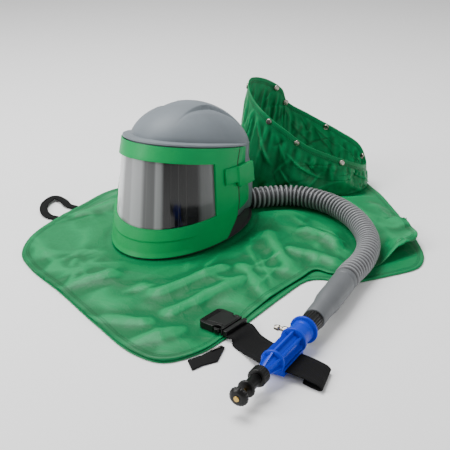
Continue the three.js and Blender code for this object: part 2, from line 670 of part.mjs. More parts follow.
// The latch: a thin plate that follows the visor, stepping up to a thick block over the side strip.
function latch() {
  const stations = [
    { along: LATCH_FRONT, thick: LATCH_PLATE, height: LATCH_PLATE_HEIGHT },
    { along: mix(LATCH_FRONT, LATCH_STEP, 0.5), thick: LATCH_PLATE, height: LATCH_PLATE_HEIGHT },
    { along: LATCH_STEP - 1, thick: LATCH_PLATE, height: LATCH_PLATE_HEIGHT },
    { along: LATCH_STEP + 1, thick: LATCH_BLOCK, height: LATCH_HEIGHT },
    { along: mix(LATCH_STEP, LATCH_REAR, 0.5), thick: LATCH_BLOCK, height: LATCH_HEIGHT },
    { along: LATCH_REAR, thick: LATCH_BLOCK, height: LATCH_HEIGHT },
  ];
  const upper = LATCH_BOTTOM + LATCH_HEIGHT;
  const face = (along, height) => {
    const low = levelHeight(LEVELS[1], HALF_PI);
    const high = levelHeight(LEVELS[2], HALF_PI);
    const level = levelAt(1 + clamp((height - low) / (high - low), 0, 0.999));
    const share = clamp(-along / (HELMET_FRONT * level.front), 0, 1);
    const curve = (HELMET_HALF_WIDTH * level.side) * Math.sqrt(1 - share * share) + 3 * SEAT;
    return along > LATCH_STEP ? Math.max(curve, (HELMET_HALF_WIDTH + 3 * SEAT) * level.side) : curve;
  };
  return wallGeometry({
    columns: stations.length - 1,
    rows: 1,
    point: (column, row, side) => {
      const { along, thick, height } = stations[column];
      const z = row ? upper : upper - height;
      return new THREE.Vector3(face(along, z) + (side ? thick : 0), along, z);
    },
  });
}

// Hinge at the wearer's right: barrels on one axis outside the shell, each with its leaf.
function hingeAxis() {
  return new THREE.Vector3(-(HELMET_HALF_WIDTH + 1 + HINGE_RADIUS), 0, 0);
}

function hingeLeaf(direction, barrels) {
  const axis = hingeAxis();
  const plateInner = -(HELMET_HALF_WIDTH + SEAT);
  let solid = null;
  for (const [bottom, height] of barrels) {
    const barrel = new THREE.CylinderGeometry(HINGE_RADIUS, HINGE_RADIUS, height, 16);
    barrel.rotateX(HALF_PI);
    barrel.translate(axis.x, axis.y, HINGE_BOTTOM + bottom + height / 2);
    const arm = box(HINGE_LEAF_WALL, HINGE_LEAF, height,
      plateInner - HINGE_LEAF_WALL / 2, direction * HINGE_LEAF / 2, HINGE_BOTTOM + bottom + height / 2);
    const piece = toSolid(barrel).add(toSolid(arm));
    solid = solid ? solid.add(piece) : piece;
  }
  const total = barrels[barrels.length - 1][0] + barrels[barrels.length - 1][1] - barrels[0][0];
  const depth = HINGE_LEAF - HINGE_RADIUS - 1;
  const spine = box(HINGE_LEAF_WALL, depth, total, plateInner - HINGE_LEAF_WALL / 2,
    direction * (HINGE_LEAF - depth / 2), HINGE_BOTTOM + barrels[0][0] + total / 2);
  return fromSolid(solid.add(toSolid(spine)));
}

// A closed body of the helmet's outer faces, grown by a margin, used to cut the inlet's seat.
function helmetBody(margin) {
  const columns = 48;
  const rows = [RIM_LEVEL, RIM_LEVEL, levelAt(BAND_TOP_LEVEL), levelAt(1), levelAt(2)];
  const heights = [
    () => -RIM_BAND,
    (angle) => levelHeight(RIM_LEVEL, angle) + 2 * RIM_BEAD,
    (angle) => levelHeight(RIM_LEVEL, angle) + RIM_BAND,
    (angle) => levelHeight(LEVELS[1], angle),
    (angle) => levelHeight(LEVELS[2], angle),
  ];
  return wallGeometry({
    columns,
    rows: rows.length - 1,
    closed: true,
    point: (column, row, side) => {
      const angle = (column / columns) * 2 * Math.PI;
      const place = helmetPoint(rows[row], angle, REAR_INSET - margin, heights[row](angle));
      return side ? new THREE.Vector3(place.x * 0.5, place.y * 0.5, place.z) : place;
    },
  });
}

const helmet = new THREE.Group();
helmet.rotation.set(rad(-HELMET_LEAN), 0, rad(HELMET_TURN), 'ZXY');

// The helmet stands where its rim's lowest point meets the cape.
function helmetDrop() {
  let lowest = Infinity;
  for (let step = 0; step < 360; step += 1) {
    const place = helmetPoint(RIM_LEVEL, rad(step), RIM_INSET);
    const outer = helmetPoint(RIM_LEVEL, rad(step), REAR_INSET);
    lowest = Math.min(lowest, place.applyEuler(helmet.rotation).z, outer.applyEuler(helmet.rotation).z);
  }
  return CAPE_TOP + SEAT - lowest;
}

helmet.position.set(HELMET_X, HELMET_Y, helmetDrop());
helmet.updateMatrixWorld(true);

// The inlet: a short sleeve level with the tube, cut to the helmet's curve.
function airInlet() {
  const [startX, startY] = TUBE_ROUTE[0];
  const direction = rad(INLET_TURN);
  const sleeve = turned([
    [INLET_BORE, -INLET_LENGTH], [INLET_RADIUS, -INLET_LENGTH], [INLET_RADIUS, -SEAT],
    [INLET_BORE, -SEAT], [INLET_BORE, -INLET_LENGTH],
  ]);
  sleeve.rotateZ(direction - HALF_PI);
  sleeve.translate(startX, startY, TUBE_Z);
  const local = sleeve.applyMatrix4(helmet.matrixWorld.clone().invert());
  const cut = toSolid(local).subtract(toSolid(helmetBody(SEAT)));
  const pieces = cut.decompose();
  pieces.sort((a, b) => b.volume() - a.volume());
  return fromSolid(pieces[0]);
}

helmet.add(
  named('helmet_shell', helmetShell(), FINISH.shell),
  named('neck_rim', neckRim(), FINISH.rim),
  named('visor_frame', visorFrame(), FINISH.visor),
  named('visor_lens', visorLens(), FINISH.lens),
  named('side_strip_left', sideStrip(1), FINISH.visor),
  named('side_strip_right', sideStrip(-1), FINISH.visor),
  named('visor_latch', latch(), FINISH.visor),
  named('hinge_leaf_visor', hingeLeaf(-1, [[HINGE_BARREL + SEAT, HINGE_BARREL]]), FINISH.black),
  named('hinge_leaf_fixed', hingeLeaf(1, [[0, HINGE_BARREL], [2 * (HINGE_BARREL + SEAT), HINGE_BARREL]]),
    FINISH.black),
  named('air_inlet', airInlet(), FINISH.rim),
);

// Cape
function outlineCurve(rows) {
  const points = rows.map(({ across, away }) => new THREE.Vector3(
    CAPE_LEFT + across * CAPE_WIDTH, CAPE_FRONT + away * CAPE_LENGTH, 0));
  return new THREE.CatmullRomCurve3(points, true, 'centripetal');
}

function distanceToSegment(x, y, [ax, ay], [bx, by]) {
  const run = ((x - ax) * (bx - ax) + (y - ay) * (by - ay)) / ((bx - ax) ** 2 + (by - ay) ** 2);
  const along = clamp(run, 0, 1);
  return Math.hypot(x - mix(ax, bx, along), y - mix(ay, by, along));
}

// How free the cape is to rise at a place: 0 under what stands or lies on it, 1 well away.
function freedom(x, y) {
  const helmetPlace = new THREE.Vector3(x, y, 0).applyMatrix4(helmet.matrixWorld.clone().invert());
  const onHelmet = Math.hypot(helmetPlace.x / HELMET_HALF_WIDTH, helmetPlace.y / HELMET_FRONT);
  let free = clamp((onHelmet - FLAT_HELMET.share) / FLAT_HELMET.run, 0, 1);
  for (let step = 0; step < TUBE_ROUTE.length - 1; step += 1) {
    const apart = distanceToSegment(x, y, TUBE_ROUTE[step], TUBE_ROUTE[step + 1]);
    free = Math.min(free, clamp((apart - TUBE_RADIUS - FLAT_TUBE.clear) / FLAT_TUBE.run, 0, 1));
  }
  const onCollar = Math.hypot((x - COLLAR_X) / (COLLAR_WIDTH / 2), (y - COLLAR_Y) / (COLLAR_DEPTH / 2));
  free = Math.min(free, clamp((onCollar - FLAT_COLLAR.share) / FLAT_COLLAR.run, 0, 1));
  const onBuckle = Math.hypot(x - BUCKLE_X, y - BUCKLE_Y);
  return Math.min(free, clamp((onBuckle - FLAT_BUCKLE.clear) / FLAT_BUCKLE.run, 0, 1));
}

function foldHeight(x, y) {
  let height = 0;
  for (const fold of FOLDS) {
    const from = [CAPE_LEFT + fold.across * CAPE_WIDTH, CAPE_FRONT + fold.away * CAPE_LENGTH];
    const to = [CAPE_LEFT + fold.across2 * CAPE_WIDTH, CAPE_FRONT + fold.away2 * CAPE_LENGTH];
    const apart = distanceToSegment(x, y, from, to) / (fold.spread * FOLD_SPREAD * CAPE_WIDTH);
    height = Math.max(height, fold.height * FOLD_HEIGHT * Math.exp(-apart * apart));
  }
  return height * freedom(x, y);
}

// One layer of the cape: a ring of cloth from the neck hole out to its outline.
function capeLayer(outline, bottom, rings, folded) {
  const columns = CAPE_COLUMNS;
  const curve = outlineCurve(outline);
  const border = curve.getSpacedPoints(columns);
  return wallGeometry({
    columns,
    rows: rings,
    closed: true,
    point: (column, row, side) => {
      const edge = border[column];
      const angle = Math.atan2(edge.y - COLLAR_Y, edge.x - COLLAR_X);
      const hole = new THREE.Vector3(
        COLLAR_X + (COLLAR_WIDTH / 2 - NECK_HOLE_INSET) * Math.cos(angle),
        COLLAR_Y + (COLLAR_DEPTH / 2 - NECK_HOLE_INSET) * Math.sin(angle), 0);
      const place = hole.lerp(edge, row / rings);
      const lift = folded ? foldHeight(place.x, place.y) : 0;
      place.z = bottom + lift + (side ? 0 : CLOTH);
      return place;
    },
  });
}

// Collar: rim and base rings joined by a wall with gathers under the rim band and crumples below.
const rimCurve = new THREE.CatmullRomCurve3(COLLAR_RIM.map(({ across, along, height }) => new THREE.Vector3(
  COLLAR_X + across * COLLAR_WIDTH / 2, COLLAR_Y + along * COLLAR_DEPTH / 2, height * COLLAR_HEIGHT)), true);

function rimShare(angle) {
  const turn = THREE.MathUtils.euclideanModulo(angle, 360);
  const last = COLLAR_RIM.length;
  for (let row = 0; row < last; row += 1) {
    const start = COLLAR_RIM[row].angle;
    const end = row + 1 < last ? COLLAR_RIM[row + 1].angle : 360;
    if (turn >= start && turn <= end) return (row + (turn - start) / (end - start)) / last;
  }
  return 0;
}

function crumple(angle, up) {
  let push = 0;
  for (const row of CRUMPLES) {
    const turn = THREE.MathUtils.euclideanModulo(angle - row.angle + 180, 360) - 180;
    push += row.push * CRUMPLE_DEPTH * Math.exp(-((turn / row.turn) ** 2) - ((up - row.up) / row.rise) ** 2);
  }
  return push * Math.sin(Math.PI * clamp(up, 0, 1));
}

function collarPoint(angle, drop, offset) {
  const rim = rimCurve.getPoint(rimShare(angle));
  const turn = rad(angle);
  const outward = new THREE.Vector3(Math.cos(turn) / COLLAR_WIDTH, Math.sin(turn) / COLLAR_DEPTH, 0);
  outward.normalize();
  const base = new THREE.Vector3(
    COLLAR_X + COLLAR_WIDTH / 2 * Math.cos(turn),
    COLLAR_Y + COLLAR_DEPTH / 2 * Math.sin(turn),
    CAPE_TOP + SEAT);
  const up = 1 - drop;
  const band = COLLAR_BAND / base.distanceTo(rim);
  const place = base.lerp(rim, up);
  const fade = clamp((drop - band) * GATHER_ONSET, 0, 1)
    * Math.exp(-Math.max(0, drop - GATHER_REACH.drop) * GATHER_REACH.decay);
  const gather = GATHER_DEPTH * fade * Math.sin(turn * GATHER_COUNT);
  return place.addScaledVector(outward, crumple(angle, up) + gather + offset);
}

function collar() {
  return wallGeometry({
    columns: COLLAR_COLUMNS,
    rows: COLLAR_DROPS.length - 1,
    closed: true,
    point: (column, row, side) => collarPoint(
      column * 360 / COLLAR_COLUMNS, COLLAR_DROPS[row], (side ? -0.5 : 0.5) * CLOTH),
  });
}

// The faceted wall's own surface: collarPoint between its nearest columns and rows.
function facetPoint(angle, drop, offset) {
  const step = 360 / COLLAR_COLUMNS;
  const left = Math.floor(angle / step) * step;
  const row = COLLAR_DROPS.findIndex((value) => value > drop) - 1;
  const [above, below] = [COLLAR_DROPS[row], COLLAR_DROPS[row + 1]];
  const share = (angle - left) / step;
  const edge = (at) => collarPoint(left, at, offset).lerp(collarPoint(left + step, at, offset), share);
  return edge(above).lerp(edge(below), (drop - above) / (below - above));
}

function snap(index) {
  const { angle, face } = SNAPS[index];
  const rimLength = collarPoint(angle, 0, 0).distanceTo(collarPoint(angle, 1, 0));
  const drop = COLLAR_BAND * SNAP_DROP / rimLength;
  const middle = collarPoint(angle, drop, 0);
  const across = collarPoint(angle + SNAP_SPAN, drop, 0).sub(collarPoint(angle - SNAP_SPAN, drop, 0));
  const down = collarPoint(angle, 2 * drop, 0).sub(middle);
  const normal = new THREE.Vector3().crossVectors(across, down).normalize();
  const outward = middle.clone().sub(new THREE.Vector3(COLLAR_X, COLLAR_Y, middle.z));
  if (normal.dot(outward) < 0) normal.negate();
  normal.multiplyScalar(face);
  let reach = 0;
  for (let turn = -SNAP_SWEEP; turn <= SNAP_SWEEP; turn += 1) {
    for (let fall = 0; fall < SNAP_SWEEP_DROP; fall += SNAP_SWEEP_DROP / 24) {
      const place = facetPoint(angle + turn, fall, face * CLOTH / 2).sub(middle);
      const along = place.dot(normal);
      if (place.addScaledVector(normal, -along).length() < SNAP_RADIUS + SEAT) reach = Math.max(reach, along);
    }
  }
  const button = new THREE.CylinderGeometry(SNAP_RADIUS * SNAP_FACE_SHARE, SNAP_RADIUS, SNAP_HEIGHT, 12);
  const mesh = named(`snap_${index + 1}`, button, FINISH.nickel);
  mesh.quaternion.setFromUnitVectors(new THREE.Vector3(0, 1, 0), normal);
  mesh.position.copy(middle).addScaledVector(normal, reach + SEAT + SNAP_HEIGHT / 2);
  return mesh;
}

// A flat strap: rows give its middle, the direction across it and which way its face looks.
function ribbon(rows, width, thickness) {
  return wallGeometry({
    columns: rows.length - 1,
    rows: 1,
    point: (column, row, side) => {
      const { middle, across, facing } = rows[column];
      return middle.clone()
        .addScaledVector(across, (row - 0.5) * width)
        .addScaledVector(facing, (0.5 - side) * thickness);
    },
  });
}

function leftLoop() {
  const points = LEFT_LOOP.map(({ across, away, height }) => new THREE.Vector3(
    CAPE_LEFT + across * CAPE_WIDTH, CAPE_FRONT + away * CAPE_LENGTH, WEBBING * height));
  const curve = new THREE.CatmullRomCurve3(points, false, 'centripetal');
  const steps = 18;
  const rows = [];
  for (let step = 0; step <= steps; step += 1) {
    const tangent = curve.getTangent(step / steps);
    const across = new THREE.Vector3(tangent.y, -tangent.x, 0).normalize();
    const facing = new THREE.Vector3().crossVectors(tangent, across).normalize();
    rows.push({ middle: curve.getPoint(step / steps), across, facing });
  }
  return ribbon(rows, LOOP_WIDTH, WEBBING);
}

// Breathing tube and cuff
const valve = new THREE.Group();
valve.rotation.z = rad(VALVE_TURN);
valve.position.set(VALVE_X, VALVE_Y, VALVE_Z);
valve.updateMatrixWorld(true);

const cuff = new THREE.Group();
cuff.rotation.z = rad(CUFF_TURN);
cuff.position.copy(new THREE.Vector3(0, NUT_START - CUFF_GAP, 0).applyMatrix4(valve.matrixWorld));
cuff.position.z = VALVE_Z;
cuff.updateMatrixWorld(true);

function tubeCuff() {
  const start = -CUFF_LENGTH;
  const bore = TUBE_RADIUS * CUFF_SHARES.bore;
  return turned([
    [bore, start], [CUFF_RADIUS, start], [CUFF_RADIUS, start * CUFF_SHARES.wideEnd],
    [CUFF_END_RADIUS, start * CUFF_SHARES.narrowStart], [CUFF_END_RADIUS, 0], [CUFF_BORE, 0],
    [CUFF_BORE, -NECK_INSERT - CUFF_GAP], [bore, start * CUFF_SHARES.boreStart], [bore, start],
  ]);
}

function breathingTube() {
  const cuffMouth = new THREE.Vector3(0, -CUFF_LENGTH - SEAT, 0).applyMatrix4(cuff.matrixWorld);
  const cuffLead = new THREE.Vector3(0, -CUFF_LENGTH - TUBE_RADIUS, 0).applyMatrix4(cuff.matrixWorld);
  const points = TUBE_ROUTE.map(([x, y]) => new THREE.Vector3(x, y, TUBE_Z));
  points.push(new THREE.Vector3(cuffLead.x, cuffLead.y, VALVE_Z), cuffMouth);
  const curve = new THREE.CatmullRomCurve3(points, false, 'centripetal');
  const section = new THREE.Shape();
  for (let side = 0; side < TUBE_SIDES; side += 1) {
    const angle = (side / TUBE_SIDES) * 2 * Math.PI;
    section[side ? 'lineTo' : 'moveTo'](TUBE_RADIUS * Math.cos(angle), TUBE_RADIUS * Math.sin(angle));
  }
  section.closePath();
  return new THREE.ExtrudeGeometry(section, { steps: TUBE_STEPS, extrudePath: curve, bevelEnabled: false });
}

// Flow valve
const SLOT_START = RING_START + RING_WIDTH + SLOT_MARGIN;
const SLOT_END = TAIL_RING_START - SLOT_MARGIN;

function valveBody() {
  const core = turned([
    [0, 0], [FLANGE_RADIUS, 0], [FLANGE_RADIUS, FLANGE_THICKNESS], [BODY_RADIUS, FLANGE_THICKNESS],
    [BODY_RADIUS, RING_START],
    [RING_RADIUS, RING_START], [RING_RADIUS, RING_START + RING_WIDTH], [CORE_RADIUS, RING_START + RING_WIDTH],
    [CORE_RADIUS, TAIL_RING_START], [TAIL_RING_RADIUS, TAIL_RING_START],
    [TAIL_RING_RADIUS, TAIL_RING_START + RING_WIDTH], [CORE_RADIUS, TAIL_RING_START + RING_WIDTH],
    [CONE_END_RADIUS, CONE_END], [0, CONE_END],
  ]);
  let solid = toSolid(core);
  for (let fin = 0; fin < FIN_COUNT; fin += 1) {
    const outline = new THREE.Shape([
      new THREE.Vector2(0, RING_START + 1), new THREE.Vector2(BODY_RADIUS, RING_START + 1),
      new THREE.Vector2(TAIL_RING_RADIUS - 1, TAIL_RING_START + 1),
      new THREE.Vector2(CONE_END_RADIUS, CONE_END), new THREE.Vector2(0, CONE_END),
    ]);
    const blade = new THREE.ExtrudeGeometry(outline, { depth: FIN_WALL, bevelEnabled: false, steps: 1 });
    blade.translate(0, 0, -FIN_WALL / 2);
    blade.rotateY(-rad(FIN_FIRST_ANGLE + fin * FIN_STEP_ANGLE));
    solid = solid.add(toSolid(blade));
  }
  const floor = SLOT_FLOOR - HOUSING_WALL - VALVE_Z;
  const ceiling = SLOT_FLOOR + SLOT_HEIGHT + HOUSING_WALL - VALVE_Z;
  const span = SLOT_END - SLOT_START + 2 * HOUSING_WALL;
  const middle = (SLOT_START + SLOT_END) / 2;
  const housing = box(2 * HOUSING_REACH, span, ceiling - floor, 0, middle, (ceiling + floor) / 2);
  const slot = box(4 * HOUSING_REACH, SLOT_END - SLOT_START, SLOT_HEIGHT, 0, middle,
    SLOT_FLOOR + SLOT_HEIGHT / 2 - VALVE_Z);
  return fromSolid(solid.add(toSolid(housing)).subtract(toSolid(slot)));
}

function inletNipple() {
  const root = BODY_RADIUS + SEAT;
  const reach = NIPPLE_REACH - root;
  const stations = [
    [0, 0], [NIPPLE_RADIUS, 0], [NIPPLE_RADIUS, reach * 0.4], [NIPPLE_RADIUS * 0.7, reach * 0.45],
    [NIPPLE_RADIUS * 0.7, reach * 0.62], [NIPPLE_RADIUS * 0.95, reach * 0.68],
    [NIPPLE_RADIUS * 0.8, reach], [0, reach],
  ];
  return turned(stations, 16).rotateZ(-HALF_PI).translate(root, NIPPLE_STATION, 0);
}

const COLLAR_START = CONE_END + SEAT;
const BONNET_START = COLLAR_START + VALVE_COLLAR_LENGTH + SEAT;
const BONNET_END = BONNET_START + BONNET_LENGTH + BONNET_FLANGE;
const STEM_START = BONNET_END + SEAT;
const KNOB_START = STEM_START + STEM_LENGTH + SEAT;

valve.add(
  named('valve_nut', turned([
    [0, NUT_START - NECK_INSERT], [NECK_RADIUS, NUT_START - NECK_INSERT], [NECK_RADIUS, NUT_START],
    [NUT_RADIUS, NUT_START], [NUT_RADIUS, -SEAT], [0, -SEAT],
  ]), FINISH.black),
  named('valve_body', valveBody(), FINISH.blue),
  named('inlet_nipple', inletNipple(), FINISH.nickel),
  named('valve_collar', turned([
    [0, COLLAR_START], [VALVE_COLLAR_RADIUS * 0.92, COLLAR_START], [VALVE_COLLAR_RADIUS, COLLAR_START + 1.5],
    [VALVE_COLLAR_RADIUS, COLLAR_START + VALVE_COLLAR_LENGTH], [0, COLLAR_START + VALVE_COLLAR_LENGTH],
  ]), FINISH.black),
  named('valve_bonnet', turned([
    [0, BONNET_START], [BONNET_RADIUS, BONNET_START], [BONNET_RADIUS, BONNET_START + BONNET_LENGTH],
    [BONNET_FLANGE_RADIUS, BONNET_START + BONNET_LENGTH + 1], [BONNET_FLANGE_RADIUS, BONNET_END - 1],
    [BONNET_FLANGE_RADIUS * 0.7, BONNET_END], [0, BONNET_END],
  ]), FINISH.black),
  named('valve_stem', turned([
    [0, STEM_START], [STEM_RADIUS, STEM_START], [STEM_RADIUS, STEM_START + STEM_LENGTH],
    [0, STEM_START + STEM_LENGTH],
  ], 12), FINISH.brass),
  named('flow_knob', turned([
    [0, KNOB_START], [KNOB_RADIUS * 0.42, KNOB_START], [KNOB_RADIUS * 0.5, KNOB_START + KNOB_LENGTH * 0.2],
    [KNOB_RADIUS, KNOB_START + KNOB_LENGTH * 0.45], [KNOB_RADIUS, KNOB_START + KNOB_LENGTH * 0.72],
    [KNOB_RADIUS * 0.62, KNOB_START + KNOB_LENGTH], [0, KNOB_START + KNOB_LENGTH],
  ]), FINISH.black),
  named('knob_cap', turned([
    [0, KNOB_START + KNOB_LENGTH + SEAT], [KNOB_RADIUS * 0.3, KNOB_START + KNOB_LENGTH + SEAT],
    [KNOB_RADIUS * 0.3, KNOB_START + KNOB_LENGTH + SEAT + 1.2], [0, KNOB_START + KNOB_LENGTH + SEAT + 1.2],
  ], 12), FINISH.brass),
);
cuff.add(named('tube_cuff', tubeCuff(), FINISH.cuff));

// Side-release buckle, fastened: the socket with side cut-outs and the tongue whose prongs fill them.
const buckle = new THREE.Group();
buckle.rotation.z = rad(BUCKLE_TURN);
buckle.position.set(BUCKLE_X, BUCKLE_Y, CAPE_TOP + SEAT);
buckle.updateMatrixWorld(true);

function outlineSolid(points, height) {
  const shape = new THREE.Shape(points.map(([x, y]) => new THREE.Vector2(x, y)));
  return new THREE.ExtrudeGeometry(shape, { depth: height, bevelEnabled: false, steps: 1 });
}

function buckleSocket() {
  const left = -BUCKLE_LENGTH / 2;
  const right = BUCKLE_LENGTH / 2 - TONGUE_BAR - SEAT;
  const half = BUCKLE_WIDTH / 2;
  const waist = half - PRONG_WIDTH - SEAT;
  const notch = right - PRONG_LENGTH - SEAT;
  return outlineSolid([
    [left, -half + BUCKLE_CHAMFER], [left + BUCKLE_CHAMFER, -half], [notch, -half], [notch, -waist],
    [right, -waist], [right, waist], [notch, waist], [notch, half], [left + BUCKLE_CHAMFER, half],
    [left, half - BUCKLE_CHAMFER],
  ], BUCKLE_HEIGHT);
}

function buckleTongue() {
  const right = BUCKLE_LENGTH / 2;
  const bar = right - TONGUE_BAR;
  const half = BUCKLE_WIDTH / 2;
  const inner = half - PRONG_WIDTH;
  const outer = half - PRONG_CHAMFER;
  const tip = bar - PRONG_LENGTH;
  return outlineSolid([
    [bar, -inner], [tip, -inner], [tip + PRONG_CHAMFER, -outer], [bar - PRONG_SHOULDER, -outer],
    [bar, -half], [right, -half], [right, half], [bar, half], [bar - PRONG_SHOULDER, outer],
    [tip + PRONG_CHAMFER, outer], [tip, inner], [bar, inner],
  ], BUCKLE_HEIGHT - 1);
}

buckle.add(
  named('buckle_socket', buckleSocket(), FINISH.black),
  named('buckle_tongue', buckleTongue(), FINISH.black),
);

// Belt strap: from the buckle's tongue through the housing's slot, folded back on itself past it.
function beltStrap() {
  const toValve = valve.matrixWorld.clone().invert().multiply(buckle.matrixWorld);
  const rows = BELT_LEAD.map((reach) => ({
    middle: new THREE.Vector3(BUCKLE_LENGTH / 2 + reach, 0, BELT_LEAD_HEIGHT).applyMatrix4(toValve),
    across: new THREE.Vector3(0, 1, 0).transformDirection(toValve),
  }));
  const middleStation = (SLOT_START + SLOT_END) / 2;
  for (const { reach, drift, height, heading } of BELT_RUN) {
    rows.push({
      middle: new THREE.Vector3(
        reach * BELT_WIDTH, middleStation + drift * BELT_WIDTH, height * BELT_WIDTH - VALVE_Z),
      across: new THREE.Vector3(Math.sin(rad(heading)), Math.cos(rad(heading)), 0),
    });
  }
  rows.forEach((row, index) => {
    const before = rows[Math.max(index - 1, 0)].middle;
    const after = rows[Math.min(index + 1, rows.length - 1)].middle;
    const tangent = after.clone().sub(before).normalize();
    if (row.across.y < 0) row.across.negate();
    row.facing = new THREE.Vector3().crossVectors(tangent, row.across).normalize();
  });
  return ribbon(rows, BELT_WIDTH, WEBBING);
}
valve.add(named('belt_strap', beltStrap(), FINISH.webbing));

// Webbing tab under the cape's front hem, with the wire slide that joins it there.
const tab = new THREE.Group();
tab.position.set(CAPE_LEFT + TAB_PLACE.across * CAPE_WIDTH, CAPE_FRONT + TAB_PLACE.away * CAPE_LENGTH, 0);
tab.rotation.z = rad(TAB_TURN);

function hemTab() {
  return outlineSolid(TAB_OUTLINE.map(([x, y]) => [x * TAB_WIDTH, y * TAB_WIDTH]), WEBBING);
}

function tabSlide() {
  const bar = new THREE.CylinderGeometry(SLIDE_WIRE / 2, SLIDE_WIRE / 2, SLIDE_LENGTH, 10);
  return bar.rotateZ(HALF_PI).translate(TAB_WIDTH * SLIDE_PLACE.x, TAB_WIDTH * SLIDE_PLACE.y,
    WEBBING + SEAT + SLIDE_WIRE / 2);
}

tab.add(named('hem_tab', hemTab(), FINISH.webbing), named('tab_slide', tabSlide(), FINISH.nickel));

const hood = new THREE.Group();
hood.add(
  helmet,
  named('cape_lower', capeLayer(LOWER_OUTLINE, 0, CAPE_LOWER_RINGS, false), FINISH.cloth),
  named('cape_upper', capeLayer(UPPER_OUTLINE, CAPE_UNDER, CAPE_UPPER_RINGS, true), FINISH.cloth),
  named('cape_collar', collar(), FINISH.cloth),
  ...SNAPS.map((row, index) => snap(index)),
  named('loop_left', leftLoop(), FINISH.webbing),
  valve,
  cuff,
  buckle,
  tab,
);
const tube = named('breathing_tube', breathingTube(), FINISH.tube);

// The origin is under the middle of everything but the free tube, on the surface it lies on.
hood.updateMatrixWorld(true);
const bounds = new THREE.Box3().setFromObject(hood, true);
const middle = bounds.getCenter(new THREE.Vector3());
hood.add(tube);
hood.position.set(-middle.x, -middle.y, -bounds.min.z);
hood.updateMatrixWorld(true);

const assembly = new THREE.Group();
assembly.add(hood);
export default assembly;
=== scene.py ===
"""Sandblasting hood laid out on a pale floor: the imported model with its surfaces, cloth and light.
Lengths are in millimetres in the tables and in metres in Blender; +Z is up, and angles go round the
helmet from straight ahead."""
import math

import bpy
import numpy as np
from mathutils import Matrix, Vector


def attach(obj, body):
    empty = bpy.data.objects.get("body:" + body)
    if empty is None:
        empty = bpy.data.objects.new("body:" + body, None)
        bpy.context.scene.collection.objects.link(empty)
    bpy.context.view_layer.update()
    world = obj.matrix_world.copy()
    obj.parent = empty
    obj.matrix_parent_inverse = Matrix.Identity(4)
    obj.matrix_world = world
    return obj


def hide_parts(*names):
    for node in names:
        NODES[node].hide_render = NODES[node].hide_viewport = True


MM = 0.001
CRISP = math.radians(38)

# Placing of the layout in the row frame, of the helmet in the layout and of the valve in it
LAYOUT = np.array([7.114, 141.601, 0.0])
HELMET_PLACE = np.array([-71.5, -7.0, -12.365])
HELMET_TURN = math.radians(-27.4)
HELMET_LEAN = math.radians(-6.0)
VALVE_PLACE = np.array([105.0, -408.3, 24.0])
VALVE_TURN = math.radians(150.7)
CUFF_TURN = math.radians(154.7)

# Helmet sizes
HALF_WIDTH = 107.0
FRONT = 157.0
REAR = 157.0
VISOR_HEIGHT = 182.0
DOME_HEIGHT = 44.0
SHELL_INSET = 8.0
REAR_INSET = 1.5
SHELL_WALL = 2.4
SHELL_WIDENS = {"from": 106.0, "over": 7.0}
VISOR_WALL = 4.0
LENS_INSET = 4.5
LENS_WALL = 2.0
LEDGE_CLEARANCE = 1.6
LEDGE_THICKNESS = 2.6
LEDGE_ROWS = ((0.0, 0.0), (0.0, 0.1), (0.28, 0.91), (0.8, 2.6))
RIM_BAND = 24.0
BAND_LEVEL = 0.5
BAND_GAP = 0.3
RIM_INSET = 6.0
RIM_WALL = 3.0
RIM_BEAD = 1.4
WINDOW_ANGLE = 64.0
SHELL_WINDOW_ANGLE = 60.0
LENS_ANGLE = 66.0
CHIN_CREASE = {"level": 0.6, "end": 52.0, "depth": 1.3}
# A dark strip of painted shade in each gap at the door's rear edges: levels, angles past the edge, how far it
# stands out, and wall
GAP_SHADE_STRIP = {"levels": (0.74, 2.96), "angles": (0.1, 1.1), "proud": 0.25, "wall": 2.0}

# Levels of the visor's outer face from its foot to its top: height, rise and bend as shares of
# VISOR_HEIGHT, then shares of HALF_WIDTH, FRONT and REAR; and the door's rear edge in degrees
LEVELS = {
    "height": (0.014, 0.257, 0.875, 1.0),
    "rise": (0.146, 0.162, -0.094, -0.065),
    "bend": (-0.025, 0.022, 0.003, -0.019),
    "side": (0.99, 1.0, 0.91, 0.911),
    "front": (1.01, 0.936, 0.92, 0.868),
    "rear": (1.0, 0.945, 0.9, 0.885),
}
RIM_LEVEL = {"height": 0.001, "rise": 0.1555, "bend": -0.033, "side": 1.0, "front": 1.0, "rear": 1.0}
REAR_EDGE = {"level": (0.0, 0.56, 1.0, 2.0, 3.0), "angle": (76.5, 86.0, 86.5, 88.5, 91.0)}
# The dome's foot as shares of the oval, and the angles over which it runs out to the wall
DOME_FOOT = {"side": 0.76, "front": 0.77, "rear": 0.86}
DOME_WIDENS = {"from": 80.0, "over": 32.0, "side": 0.133, "front": 0.05}

# The door's hinge line in the row frame, how far it opens and the steps at which its foot is tried in
# degrees, how the room widens beside the foot, what is kept clear below it, and where it can pass
DOOR_SWING = {"pivot": (-159.7, 193.0, 63.2), "axis": (-0.048, -0.093, -0.9945), "most": 60.0,
              "step": 1.25, "round": 24.0, "apart": 2.0, "reach": (60.0, 220.0)}

# The crown's recess beside the raised middle band: at each place along the helmet, how far out the
# band's edge and the recess's own outer edge are, and how deep the recess is
RECESS = {
    "along": (-94, -62, -33, 0, 17, 33, 46, 60),
    "band": (27, 26, 25, 25, 29, 46, 56, 64),
    "outer": (30, 33, 42, 52, 64, 72, 76, 80),
    "depth": (0.0, 1.6, 5.0, 8.0, 8.0, 6.0, 3.5, 0.0),
}

# Painted reflections on the lens: share of its width from the wearer's right, and how pale it is there
LENS_REFLECTION_BANDS = ((0.0, 0.6), (0.27, 0.6), (0.32, 0.2), (0.39, 0.24), (0.41, 0.34), (0.49, 0.3), (0.52, 0.09),
              (0.59, 0.08), (0.605, 0.24), (0.635, 0.2), (0.66, 0.006), (0.87, 0.006), (0.9, 0.1),
              (0.95, 0.12), (1.0, 0.2))

